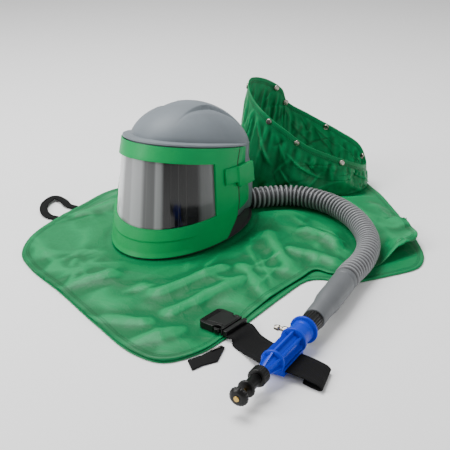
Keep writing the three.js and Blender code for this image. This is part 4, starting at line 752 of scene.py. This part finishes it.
def neck_band():
    """The dark band round the helmet's foot, rounded at its bead."""
    angle = np.linspace(0, 2 * math.pi, 193)[:-1]
    section = ((RIM_BAND, RIM_INSET), (RIM_BEAD + 1, RIM_INSET), (RIM_BEAD + 0.3, RIM_INSET - 0.4),
               (RIM_BEAD, REAR_INSET + 0.6), (RIM_BEAD * 0.7, REAR_INSET), (RIM_BEAD * 0.3, REAR_INSET),
               (0, REAR_INSET + 0.6), (0, RIM_INSET + RIM_WALL), (RIM_BAND, RIM_INSET + RIM_WALL),
               (RIM_BAND, RIM_INSET))
    foot = [RIM_LEVEL[key] for key in ("side", "front", "rear")]
    rows = []
    for up, inset in section:
        share = up / RIM_BAND
        low = oval(*foot, angle, inset, 0.0)
        high = level_point(BAND_LEVEL, angle, inset, 0.0)
        place = low + (high - low) * share
        place[:, 2] = rim_height(angle) + up
        rows.append(place)
    band = surface("neck_band", helmet_place(np.array(rows)), closed=True)
    return finished(band, "rim_dark", "hood", ("neck_rim",))


def visor_panel():
    """The door's panel: angles run from edge to edge, the window's cells are left out."""
    share = np.concatenate([np.linspace(-1, 0, 9)[:-1], np.linspace(0, 1, 97), np.linspace(1, 2, 9)[1:]])
    position = np.concatenate([np.linspace(0, 1, 41)[:-1], np.linspace(1, 2, 21),
                               np.linspace(2, 3, 11)[1:]])
    p, s = np.meshgrid(position, share, indexing="ij")
    edge = np.interp(p, REAR_EDGE["level"], REAR_EDGE["angle"])
    inside = -WINDOW_ANGLE + 2 * WINDOW_ANGLE * np.clip(s, 0, 1)
    out = np.abs(s - 0.5) - 0.5
    degrees = np.where(out > 0, np.sign(s - 0.5) * (WINDOW_ANGLE + (edge - WINDOW_ANGLE) * out), inside)
    keep = ~((p >= 1 - 1e-6) & (p < 2 - 1e-6) & (s >= -1e-6) & (s < 1 - 1e-6))
    crease = CHIN_CREASE["depth"] * smoothstep((CHIN_CREASE["level"] - p) / 0.05)
    crease *= smoothstep((CHIN_CREASE["end"] - np.abs(degrees)) / 12) * smoothstep(p / 0.2)
    panel = surface("visor_panel", helmet_place(rounded_level(p, np.radians(degrees), crease)), keep=keep)
    thicken(panel, VISOR_WALL)
    soften(panel, 1.0, 50, 3)
    return finished(panel, "visor_green", "visor", ("visor_frame",))


def gap_shade_strip(name, side):
    """A dark strip in the gap between the door's rear edge and the fixed strip: painted shade for the gap's
    shadow.
    """
    position = np.linspace(*GAP_SHADE_STRIP["levels"], 45)
    edge = np.interp(position, REAR_EDGE["level"], REAR_EDGE["angle"])
    p, past = np.meshgrid(position, np.linspace(*GAP_SHADE_STRIP["angles"], 3), indexing="ij")
    angle = np.radians(edge[:, None] + past) * side
    shade_strip = surface(name, helmet_place(rounded_level(p, angle, -GAP_SHADE_STRIP["proud"]))[:, ::side])
    thicken(shade_strip, GAP_SHADE_STRIP["wall"])
    return finished(shade_strip, "rim_dark", "hood")


def visor_window():
    """The lens: a curved sheet a little behind the panel."""
    angle = np.radians(np.linspace(-LENS_ANGLE, LENS_ANGLE, 121))
    position = np.linspace(0.94, 2.06, 25)
    p, a = np.meshgrid(position, angle, indexing="ij")
    across = (a / np.radians(LENS_ANGLE) + 1) / 2
    lens = surface("visor_window", helmet_place(level_point(p, a, LENS_INSET)), {"across": across})
    thicken(lens, LENS_WALL)
    return finished(lens, "lens", "visor", ("visor_lens",))


# Cloth

def layout_point(across, away):
    """A place on the cape from its shares."""
    return CAPE_LEFT + across * CAPE_WIDTH, CAPE_FRONT + away * CAPE_LENGTH


def collar_ring(turn, wider, height):
    """The collar's ellipse on the cape, its half axes longer by wider, at a height."""
    return np.stack([COLLAR_PLACE[0] + (COLLAR_HALF[0] + wider) * np.cos(turn),
                     COLLAR_PLACE[1] + (COLLAR_HALF[1] + wider) * np.sin(turn), 0 * turn + height], -1)


def ridge_distance(x, y, start, end):
    """Distance from a place to a straight piece, and the share along it."""
    (ax, ay), (bx, by) = start, end
    run = ((x - ax) * (bx - ax) + (y - ay) * (by - ay)) / ((bx - ax) ** 2 + (by - ay) ** 2)
    run = np.clip(run, 0, 1)
    return np.hypot(x - ax - run * (bx - ax), y - ay - run * (by - ay)), run


def freedom(x, y):
    """0 under what stands or lies on the cape, rising to 1 away from it."""
    centred = turn_about_z(np.stack([x - HELMET_PLACE[0], y - HELMET_PLACE[1], 0 * x], -1), -HELMET_TURN)
    free = passed(np.hypot(centred[..., 0] / HALF_WIDTH, centred[..., 1] / FRONT), *FREE["helmet"])
    for start, end in zip(TUBE_ROUTE, TUBE_ROUTE[1:]):
        apart, _ = ridge_distance(x, y, start, end)
        free = np.minimum(free, passed(apart - TUBE_RADIUS, *FREE["tube"]))
    collar = np.hypot((x - COLLAR_PLACE[0]) / COLLAR_HALF[0], (y - COLLAR_PLACE[1]) / COLLAR_HALF[1])
    free = np.minimum(free, passed(collar, *FREE["collar"]))
    buckle = np.hypot(x - BUCKLE_PLACE[0], y - BUCKLE_PLACE[1])
    return np.minimum(free, passed(buckle, *FREE["buckle"]))


def creases():
    """Fine creases: short ridges, spread over the cape and turned roughly towards the collar."""
    draw = np.random.default_rng(CREASES["seed"])
    rows = []
    for _ in range(CREASES["count"]):
        x, y = layout_point(draw.uniform(*CREASES["across"]), draw.uniform(*CREASES["away"]))
        towards = math.atan2(CREASES["aim"][1] - y, CREASES["aim"][0] - x) + draw.normal(0, CREASES["stray"])
        half = draw.uniform(*CREASES["length"]) / 2
        step = np.array([math.cos(towards), math.sin(towards)]) * half
        rows.append(((x - step[0], y - step[1]), (x + step[0], y + step[1]),
                     draw.uniform(*CREASES["width"]), draw.uniform(*CREASES["height"])))
    return rows


def pleats(x, y):
    """Flat-sided crumples: triangle waves of several headings, each bent and made stronger and weaker
    by slow waves across it, so that straight sharp creases start and end."""
    height = np.zeros_like(x)
    for heading, length, depth, sway in PLEATS:
        turn = math.radians(heading)
        run = x * math.cos(turn) + y * math.sin(turn)
        side = y * math.cos(turn) - x * math.sin(turn)
        bent = run / length + 0.22 * np.sin(side / sway) + 0.13 * np.sin(side / (0.37 * sway) + heading)
        strength = np.clip(0.45 + 0.75 * np.sin(side / (1.7 * sway) + run / (2.3 * length)), 0, 1)
        height += depth * strength * (1 - np.abs((bent % 2) - 1))
    return height


def fold_height(x, y):
    """The highest of the folds at a place, with the fine creases added, where the cape is free."""
    lift = np.zeros_like(x)
    for across, away, across2, away2, spread, height in FOLDS:
        apart, _ = ridge_distance(x, y, layout_point(across, away), layout_point(across2, away2))
        lift = np.maximum(lift, height * FOLD_HEIGHT * np.exp(-(apart / (spread * CAPE_WIDTH)) ** 1.7))
    for start, end, width, height in creases():
        apart, run = ridge_distance(x, y, start, end)
        lift += height * np.sin(math.pi * run) * np.exp(-apart / width)
    swell = 0.9 * (np.sin(x / 31 + y / 57) + np.sin(y / 23 - x / 71) + 2)
    return (lift + swell + pleats(x, y)) * freedom(x, y)


def swing_ceiling(x, y):
    """How high the cloth may stand under the opening door: over every place that the door's foot passes,
    its height there, rising with the square of the distance away from it."""
    reach = REAR_EDGE["angle"][0]
    angle = np.radians(np.linspace(-reach, reach, 90))
    foot = helmet_place(level_point(np.zeros_like(angle), angle, 0))
    pivot = np.array(DOOR_SWING["pivot"]) - LAYOUT
    axis = np.array(DOOR_SWING["axis"]) / np.linalg.norm(DOOR_SWING["axis"])
    arm = foot - pivot
    level = axis * (arm @ axis)[:, None]
    ceiling = np.full(x.shape, 1000.0)
    near = (x < DOOR_SWING["reach"][0]) & (y < DOOR_SWING["reach"][1])
    for turn in np.radians(np.arange(0, DOOR_SWING["most"] + 1, DOOR_SWING["step"])):
        swung = pivot + level + (arm - level) * math.cos(turn) + np.cross(axis, arm) * math.sin(turn)
        apart = (x[near][:, None] - swung[:, 0]) ** 2 + (y[near][:, None] - swung[:, 1]) ** 2
        ceiling[near] = np.minimum(ceiling[near], (swung[:, 2] + apart / DOOR_SWING["round"]).min(axis=1))
    return ceiling


def cape_sheet(name, outline, base, rows, columns, lift_at=None):
    """A layer of the cape: straight lines from the neck hole to points evenly round the outline, raised
    by lift_at over its base. The attributes hold the distance from the hem, the place along it, and
    the crests of the folds, the mask for painted shade in the creases and painted light on the crests."""
    flat = [(*layout_point(*place), 0.0) for place in outline]
    edge, length = even(flat, columns, closed=True)
    angle = np.arctan2(edge[:, 1] - COLLAR_PLACE[1], edge[:, 0] - COLLAR_PLACE[0])
    hole = collar_ring(angle, -NECK_HOLE_INSET, 0.0)
    share = np.linspace(0, 1, rows)[:, None, None] ** 0.85
    grid = hole + (edge - hole) * share
    tangent = np.roll(edge, -1, axis=0) - np.roll(edge, 1, axis=0)
    tangent /= np.linalg.norm(tangent, axis=1, keepdims=True)
    radial = edge - hole
    square = np.abs(tangent[:, 0] * radial[:, 1] - tangent[:, 1] * radial[:, 0])
    inward = (1 - share[..., 0]) * square
    lift = lift_at(grid[..., 0], grid[..., 1], inward, base) if lift_at else 0 * inward
    grid[..., 2] = base + lift + HEM["rise"] * (inward < HEM["width"])
    along = np.broadcast_to(np.arange(columns) * length / columns, inward.shape)
    # The crests of the folds are the mask for painted shade in creases and painted light on crests
    marks = {"edge": inward, "along": along, "crest": relief(lift)}
    layer = surface(name, grid, marks, closed=True)
    thicken(layer, CLOTH, 0.0)
    return layer


def upper_lift(x, y, inward, base):
    """The upper layer's folds: calmer near the hem, except where it stands up by itself, and kept below
    the path of the door's foot."""
    raised = np.hypot(x - RAISED_HEM[0], y - RAISED_HEM[1]) < RAISED_HEM[2]
    calm = np.where(raised, 1, CALM["share"] + (1 - CALM["share"]) * smoothstep(inward / CALM["reach"]))
    room = swing_ceiling(x, y) - base - HEM["rise"] - DOOR_SWING["apart"]
    return np.minimum(fold_height(x, y) * calm, np.maximum(room, 0))


def collar_creases(angle, drop):
    """Sharp short ridges over the wall, each leaning away from straight down."""
    draw = np.random.default_rng(COLLAR_CREASES["seed"])
    push = np.zeros_like(drop)
    for _ in range(COLLAR_CREASES["count"]):
        turn, level = draw.uniform(0, 360), draw.uniform(*COLLAR_CREASES["level"])
        lean, half = draw.normal(0, COLLAR_CREASES["lean"]), draw.uniform(*COLLAR_CREASES["half"])
        width = draw.uniform(*COLLAR_CREASES["width"])
        height = draw.uniform(-1, 1) * COLLAR_CREASES["height"]
        run = np.clip((drop - level) / half, -1, 1)
        aside = (angle - turn - lean * run + 180) % 360 - 180
        push += height * (1 - run ** 2) * np.exp(-np.abs(aside) / width)
    return push


def collar_push(angle, drop, height):
    """How far the wall stands out: crumples, gathers under the rim, a wavy foot and sharp creases."""
    turn = np.radians(angle)
    up = 1 - drop
    push = np.zeros_like(drop)
    for place, level, spread, rise, amount in CRUMPLES:
        aside = (angle - place + 180) % 360 - 180
        push += amount * CRUMPLE_DEPTH * np.exp(-(aside / spread) ** 2 - ((up - level) / rise) ** 2)
    push *= np.sin(math.pi * np.clip(up, 0, 1))
    fade = np.clip((drop - COLLAR_BAND / height) * GATHERS["onset"], 0, 1)
    fade *= np.exp(-np.maximum(0, drop - GATHERS["reach"]) * GATHERS["decay"])
    wave = np.sin(turn * GATHERS["count"] + 0.9 * np.sin(turn * 5)) + 0.5 * np.sin(turn * 53 + 2)
    push += GATHERS["depth"] * fade * wave
    low = np.exp(-((up - FOOT_WAVE["middle"]) / FOOT_WAVE["spread"]) ** 2)
    push += FOOT_WAVE["depth"] * low * np.sin(turn * FOOT_WAVE["count"] + 2 * np.sin(3 * turn))
    return push + collar_creases(angle, drop) * np.clip((drop * height - COLLAR_BAND) / 20, 0, 1)


def collar_sheet():
    """The standing collar: straight lines from its base ring to its rim, pushed out along the ring's
    normal, with a slightly thicker folded band at the rim."""
    drop, angle = np.meshgrid(np.linspace(0, 1, 66), np.linspace(0, 360, 661)[:-1], indexing="ij")
    turn = np.radians(angle)
    turns = np.append(COLLAR_RIM["angle"], 360.0)
    rim_rows = [(COLLAR_PLACE[0] + across * COLLAR_HALF[0], COLLAR_PLACE[1] + along * COLLAR_HALF[1],
                 height * COLLAR_HEIGHT)
                for across, along, height in zip(*(COLLAR_RIM[key] for key in ("across", "along", "height")))]
    at, _ = spline(rim_rows, closed=True)
    rim = at(np.interp(angle % 360, turns, np.arange(len(turns))))
    base = collar_ring(turn, 0.0, ON_CAPE)
    outward = np.stack([np.cos(turn) / COLLAR_HALF[0], np.sin(turn) / COLLAR_HALF[1], 0 * turn], -1)
    outward /= np.linalg.norm(outward, axis=-1, keepdims=True)
    height = np.linalg.norm(rim - base, axis=-1)
    edge = drop * height
    push = collar_push(angle, drop, height)
    wall = base + (rim - base) * (1 - drop)[..., None]
    wall = wall + outward * (push + COLLAR_BAND_RISE * (edge < COLLAR_BAND))[..., None]
    # The crests of the folds are the mask for painted shade in creases and painted light on crests
    marks = {"edge": edge, "along": angle * 1.9, "crest": relief(push)}
    collar = surface("collar", wall, marks, closed=True)
    thicken(collar, CLOTH, 0.0)
    return collar


# Straps

def ribbon(name, middle, across, width, thickness, steps=5):
    """A strap: points across its width at each place of its middle line, with thickness."""
    share = np.linspace(-0.5, 0.5, steps)[None, :, None]
    across = across / np.linalg.norm(across, axis=1, keepdims=True)
    grid = middle[:, None, :] + across[:, None, :] * share * width
    run = np.concatenate([[0], np.cumsum(np.linalg.norm(np.diff(middle, axis=0), axis=1))])
    along = np.broadcast_to(run[:, None], grid.shape[:2])
    edge = np.broadcast_to((0.5 - np.abs(share[..., 0])) * width, grid.shape[:2])
    strap = surface(name, grid, {"edge": edge, "along": along})
    thicken(strap, thickness, 0.0)
    soften(strap, 0.45, 50, 2)
    return strap


def valve_place(points):
    """The valve's frame, its axis along +Y, to the layout."""
    return turn_about_z(points, VALVE_TURN) + VALVE_PLACE


def to_valve(points):
    """The layout to the valve's frame."""
    return turn_about_z(np.asarray(points, float) - VALVE_PLACE, -VALVE_TURN)


def belt():
    """The belt: from the buckle along its run, through the housing and back under itself."""
    lead = turn_about_z([(reach, 0.0, BELT_LEAD_HEIGHT) for reach in BELT_LEAD], BUCKLE_TURN)
    lead[:, :2] += BUCKLE_PLACE
    aside = turn_about_z([(0.0, 1.0, 0.0)] * 2, BUCKLE_TURN - VALVE_TURN)
    station = sum(SLOT) / 2
    run = np.array(BELT_RUN, float)
    rows = run[:, :3] * BELT_WIDTH + (0.0, station, -VALVE_PLACE[2])
    heading = np.radians(run[:, 3])
    across = np.stack([np.sin(heading), np.cos(heading), 0 * heading], -1)
    middle = np.vstack([to_valve(lead), rows])
    across = np.vstack([aside * np.sign(aside[:, 1:2]), across])
    at, spans = spline(middle)
    sideways, _ = spline(across)
    t = np.linspace(0, spans, spans * 9 + 1)
    across = turn_about_z(sideways(t), VALVE_TURN)
    strap = ribbon("belt", valve_place(at(t)), across, BELT_WIDTH, WEBBING, 13)
    return finished(strap, "webbing", "hood", ("belt_strap",))


def hem_loop():
    """The flat loop at the left hem, its width square to its run."""
    points = [(*layout_point(across, away), height * WEBBING) for across, away, height in LEFT_LOOP]
    at, spans = spline(points)
    t = np.linspace(0, spans, 121)
    middle = at(t)
    tangent = np.gradient(middle, axis=0)
    across = np.stack([tangent[:, 1], -tangent[:, 0], 0 * t], -1)
    loop = ribbon("hem_loop", middle, across, LOOP_WIDTH, WEBBING)
    return finished(loop, "webbing", "hood", ("loop_left",))


# Turned pieces and the tube

def turned(name, stations, place, sides=72, ribs=None):
    """Stations turned round +Y: x = r cos, z = r sin. Close-set rows at the corners keep them crisp, and
    ribs sink alternate strips by their depth between two stations."""
    rows = []
    for (r0, s0), (r1, s1) in zip(stations, stations[1:]):
        length = math.hypot(r1 - r0, s1 - s0)
        near = min(0.25 / max(length, 1e-6), 0.3)
        rows += [(r0 + (r1 - r0) * u, s0 + (s1 - s0) * u) for u in (near, 1 - near)]
    profile = np.array([stations[0]] + rows + [stations[-1]], float)
    angle = np.linspace(0, 2 * math.pi, sides + 1)[:-1]
    radius = np.broadcast_to(profile[:, 0:1], (len(profile), sides)).copy()
    if ribs:
        inside = (profile[:, 1] >= ribs["from"]) & (profile[:, 1] <= ribs["to"])
        wave = smoothstep(np.sin(angle * ribs["count"]) * 1.2 + 0.5)
        radius += inside[:, None] * (wave - 1) * ribs["depth"]
    grid = np.stack([radius * np.cos(angle), np.broadcast_to(profile[:, 1:2], radius.shape),
                     radius * np.sin(angle)], -1)
    return surface(name, place(grid), closed=True)


def refined(stations, ribs):
    """Stations with two more at each end of a ribbed stretch."""
    rows = list(stations)
    for limit in (ribs["from"], ribs["to"]):
        for place in (limit - 0.05, limit + 0.4 if limit == ribs["from"] else limit - 0.4):
            for index, ((r0, s0), (r1, s1)) in enumerate(zip(rows, rows[1:])):
                if s0 < place < s1:
                    share = (place - s0) / (s1 - s0)
                    rows.insert(index + 1, (r0 + (r1 - r0) * share, place))
                    break
    return rows


def joined(name, parts):
    """One object from several, their meshes added together."""
    vertices, faces, count = [], [], 0
    for part in parts:
        mesh = part.data
        vertices += [vertex.co[:] for vertex in mesh.vertices]
        faces += [tuple(index + count for index in polygon.vertices) for polygon in mesh.polygons]
        count += len(mesh.vertices)
        bpy.data.objects.remove(part)
    return linked(name, vertices, faces)


def block(name, low, high, place):
    """A box between two corners in the valve's frame."""
    (x0, y0, z0), (x1, y1, z1) = low, high
    corners = np.array([(x, y, z) for x in (x0, x1) for y in (y0, y1) for z in (z0, z1)], float)
    faces = np.array([(0, 1, 3, 2), (4, 6, 7, 5), (0, 4, 5, 1), (2, 3, 7, 6), (0, 2, 6, 4), (1, 5, 7, 3)])
    return polygons(name, place(corners), faces)


def fin(index):
    """A fin: the outline in the plane of the axis, given its wall and turned round the axis."""
    angle = math.radians(FINS["first"] + index * FINS["step"])
    half = FINS["wall"] / 2
    corners = np.array([(r, s, side) for side in (-half, half) for r, s in FIN_OUTLINE])
    x = corners[:, 0] * math.cos(angle) - corners[:, 2] * math.sin(angle)
    z = corners[:, 0] * math.sin(angle) + corners[:, 2] * math.cos(angle)
    return prism("fin", valve_place(np.stack([x, corners[:, 1], z], -1)))


def valve():
    """The flow valve's pieces, each turned from its stations; the housing adds fins and a belt slot."""
    side, start, end = (HOUSING[key] for key in ("half", "start", "end"))
    low, high = HOUSING["slot"]
    parts = [turned("core", TURNED["body"], valve_place, 96)]
    parts += [fin(index) for index in range(FINS["count"])]
    for corner, opposite in (
        ((-side, start, HOUSING["floor"]), (side, end, low)),
        ((-side, start, high), (side, end, HOUSING["ceiling"])),
        ((-side, start, low), (side, SLOT[0], high)),
        ((-side, SLOT[1], low), (side, end, high)),
    ):
        parts.append(block("wall", corner, opposite, valve_place))
    finished(joined("valve_housing", parts), "valve_blue", "hood", ("valve_body",))
    for name, key, ribs, sides, slot, body, node in (
        ("ribbed_nut", "nut", NUT_RIBS, 192, "black_plastic", "hood", "valve_nut"),
        ("grip_collar", "collar", COLLAR_RIBS, 182, "black_plastic", "hood", "valve_collar"),
        ("bonnet", "bonnet", None, 72, "black_plastic", "hood", "valve_bonnet"),
        ("stem", "stem", None, 32, "brass", "knob", "valve_stem"),
        ("knob", "knob", KNOB_RIBS, 160, "black_plastic", "knob", "flow_knob"),
        ("cap", "cap", None, 40, "brass", "knob", "knob_cap"),
    ):
        stations = refined(TURNED[key], ribs) if ribs else TURNED[key]
        finished(turned(name, stations, valve_place, sides, ribs), slot, body, (node,))

    def across(points):
        """Turns a piece's axis to the valve's +X, at the nipple's station."""
        x, y, z = np.moveaxis(points, -1, 0)
        return valve_place(np.stack([y, NIPPLE_STATION - x, z], -1))

    finished(turned("nipple", TURNED["nipple"], across, 48), "nickel", "hood", ("inlet_nipple",))


def slab(name, outline, low, high, width):
    """A piece of the buckle: an outline drawn up between two heights, its corners rounded."""
    corners = np.array([(x, y, z) for z in (low, high) for x, y in outline], float)
    obj = prism(name, buckle_place(corners), crisp=False)
    soften(obj, width, 25, 3)
    return obj


def buckle_place(points):
    """The buckle's frame, lying on the cape, to the layout."""
    return turn_about_z(points, BUCKLE_TURN) + np.array([*BUCKLE_PLACE, ON_CAPE])


def mirrored(half):
    """An outline from its upper half, run back along the lower half."""
    return list(half) + [(x, -y) for x, y in reversed(half)]


def bite(middle_x, middle_y, half_x, half_y, end, count):
    """An arc that dips below a height: from the left end round to the given angle."""
    return [(middle_x + half_x * math.cos(a), middle_y - half_y * math.sin(a))
            for a in np.linspace(math.pi, end, count)]


def buckle():
    """The fastened buckle: socket with rounded side cut-outs and ribs, and the tongue with its prongs."""
    socket = mirrored([(-25, 18.5), (-22.5, 22), (-18, 23.5)] + bite(7.5, 23.5, 6.5, 7.0, 0, 13)
                      + [(15.5, 23.0), (17.2, 20.5)])
    tongue = mirrored([(18.2, 9.0), (18.2, 22.4), (19.4, 23.5), (24, 23.5), (25, 22)])
    inset = mirrored([(-15, 14.5), (-13, 16), (3, 14), (8, 12.5), (14, 15), (15.5, 13)])
    prong = bite(6.8, 20.6, 5.2, 5.2, 2 * math.pi, 9)
    pieces = [("buckle_body", socket, 0.0, 10.6, 1.1, ("buckle_socket",)),
              ("buckle_panel", inset, 10.0, 11.3, 0.5, ())]
    for number, x in enumerate((-23.6, -20.9, -18.2), 1):
        pieces.append(("buckle_rib_%d" % number, mirrored([(x, 18.5), (x + 1.3, 18.5)]), 9.6, 11.4, 0.35, ()))
    pieces.append(("buckle_tongue_bar", tongue, 0.6, 9.4, 0.9, ("buckle_tongue",)))
    for side, name in ((1, "left"), (-1, "right")):
        outline = [(x, side * y) for x, y in prong][::side]
        pieces.append(("buckle_prong_" + name, outline, 1.6, 8.6, 0.7, ()))
    for name, outline, low, high, width, nodes in pieces:
        finished(slab(name, outline, low, high, width), "black_plastic", "hood", nodes)


def cuff_place(points):
    """The cuff's frame, its axis along +Y from the nut, to the layout."""
    start = valve_place(np.array([0.0, CUFF_START, 0.0]))
    return turn_about_z(points, CUFF_TURN) + start


def tube_line():
    """The tube's middle line, evenly spaced, from the inlet to the cuff's mouth."""
    mouth = cuff_place(np.array([0.0, -CUFF_LENGTH - 0.3, 0.0]))
    lead = cuff_place(np.array([0.0, -CUFF_LENGTH - TUBE_RADIUS, 0.0]))
    start = np.array(TUBE_ROUTE[0]) - SLEEVE_LAP * np.array([math.cos(INLET_TURN), math.sin(INLET_TURN)])
    route = [tuple(start)] + list(TUBE_ROUTE)
    return [(x, y, TUBE_Z) for x, y in route] + [tuple(lead), tuple(mouth)]


def breathing_tube():
    """Corrugated tube: a round section swept along the line, its radius waved by the rings."""
    points = tube_line()
    _, length = even(points, 10)
    rings = round(length / RING_PITCH)
    steps = rings * 12 + 1
    line, length = even(points, steps)
    tangent = np.gradient(line, axis=0)
    tangent /= np.linalg.norm(tangent, axis=1, keepdims=True)
    side = np.cross(tangent, (0.0, 0.0, 1.0))
    side /= np.linalg.norm(side, axis=1, keepdims=True)
    up = np.cross(side, tangent)
    phase = np.linspace(0, rings, steps) * 2 * math.pi
    bulge = smoothstep(0.5 + 0.66 * np.sin(phase))
    radius = TUBE_RADIUS - RING_DEPTH + RING_DEPTH * bulge
    angle = np.linspace(0, 2 * math.pi, 49)[:-1]
    ring = side[:, None] * np.cos(angle)[None, :, None] + up[:, None] * np.sin(angle)[None, :, None]
    # The ring mark is the mask for painted shade in the valleys between the rings
    marks = {"ring": np.broadcast_to(bulge[:, None], ring.shape[:2])}
    tube = surface("hose", line[:, None] + ring * radius[:, None, None], marks, closed=True)
    finished(tube, "tube_grey", "hood", ("breathing_tube",))


def helmet():
    """The shell, the band and the door's panel and lens, with dark strips of painted shade in the gaps
    at the door's rear edges.
    """
    helmet_shell()
    neck_band()
    visor_panel()
    visor_window()
    gap_shade_strip("gap_shade_strip_right", 1)
    gap_shade_strip("gap_shade_strip_left", -1)


def hardware():
    """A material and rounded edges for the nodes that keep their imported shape."""
    for slot, width, nodes in KEPT:
        for node in nodes:
            obj = NODES[node]
            painted(obj, slot)
            obj.data.shade_smooth()
            weld = obj.modifiers.new("weld", "WELD")
            weld.merge_threshold = 0.02 * MM
            soften(obj, width, 35, 3)


def cape():
    """The two layers of the cape and the collar, each a sheet."""
    lower = cape_sheet("cape_under", LOWER_OUTLINE, CLOTH / 2, 50, 360)
    upper = cape_sheet("cape_over", UPPER_OUTLINE, CAPE_TOP - CLOTH / 2, 100, 440, upper_lift)
    collar = collar_sheet()
    for sheet, node in ((lower, "cape_lower"), (upper, "cape_upper"), (collar, "cape_collar")):
        finished(sheet, "cape_cloth", "hood", (node,))


# Stage

def area_light(name, place, target, size, power):
    """A soft rectangle of light that looks at a target."""
    data = bpy.data.lights.new(name, "AREA")
    data.shape = "RECTANGLE"
    data.size, data.size_y = size
    data.energy = power
    lamp = bpy.data.objects.new(name, data)
    lamp.location = place
    lamp.rotation_euler = (Vector(target) - Vector(place)).to_track_quat("-Z", "Y").to_euler()
    bpy.context.scene.collection.objects.link(lamp)
    return lamp


def stage():
    """A pale floor under soft light from above, the left and the right."""
    mesh = bpy.data.meshes.new("floor")
    reach = FLOOR["reach"]
    mesh.from_pydata([(-reach, -reach, 0), (reach, -reach, 0), (reach, reach, 0), (-reach, reach, 0)], [],
                     [(0, 1, 2, 3)])
    floor = bpy.data.objects.new("floor", mesh)
    floor.location.z = -FLOOR["drop"]
    bpy.context.scene.collection.objects.link(floor)
    floor.data.materials.append(Graph("floor", (FLOOR["grey"],) * 3, 0.85, specular=0.2).material)
    lamps = [area_light(name, *settings) for name, settings in LAMPS.items()]
    world = bpy.data.worlds.new("studio")
    bpy.context.scene.world = world
    world.use_nodes = True
    background = world.node_tree.nodes["Background"]
    background.inputs["Color"].default_value = (1.0, 1.0, 1.0, 1.0)
    background.inputs["Strength"].default_value = WORLD_STRENGTH


def camera():
    """The photograph's place: above the floor by the tilt, at a distance from the layout's middle."""
    data = bpy.data.cameras.new("camera")
    data.lens = CAMERA["lens"]
    data.sensor_width = CAMERA["sensor"]
    eye = bpy.data.objects.new("camera", data)
    middle = LAYOUT * MM
    away, up = (CAMERA["distance"] * turn(CAMERA["tilt"]) for turn in (math.cos, math.sin))
    eye.location = (middle[0], middle[1] - away, up)
    eye.rotation_euler = (math.pi / 2 - CAMERA["tilt"], 0.0, 0.0)
    bpy.context.scene.collection.objects.link(eye)
    bpy.context.scene.camera = eye


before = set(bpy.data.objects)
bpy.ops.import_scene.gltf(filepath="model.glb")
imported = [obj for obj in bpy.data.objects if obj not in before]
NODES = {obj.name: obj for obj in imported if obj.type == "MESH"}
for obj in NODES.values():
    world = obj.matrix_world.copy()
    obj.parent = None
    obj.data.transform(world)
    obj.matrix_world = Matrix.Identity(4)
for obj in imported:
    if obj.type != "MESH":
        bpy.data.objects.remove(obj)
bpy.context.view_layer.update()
make_materials()
camera()
breathing_tube()
helmet()
cape()
belt()
hem_loop()
valve()
finished(turned("cuff", TURNED["cuff"], cuff_place, 96), "cuff_rubber", "hood", ("tube_cuff",))
buckle()
hardware()
stage()
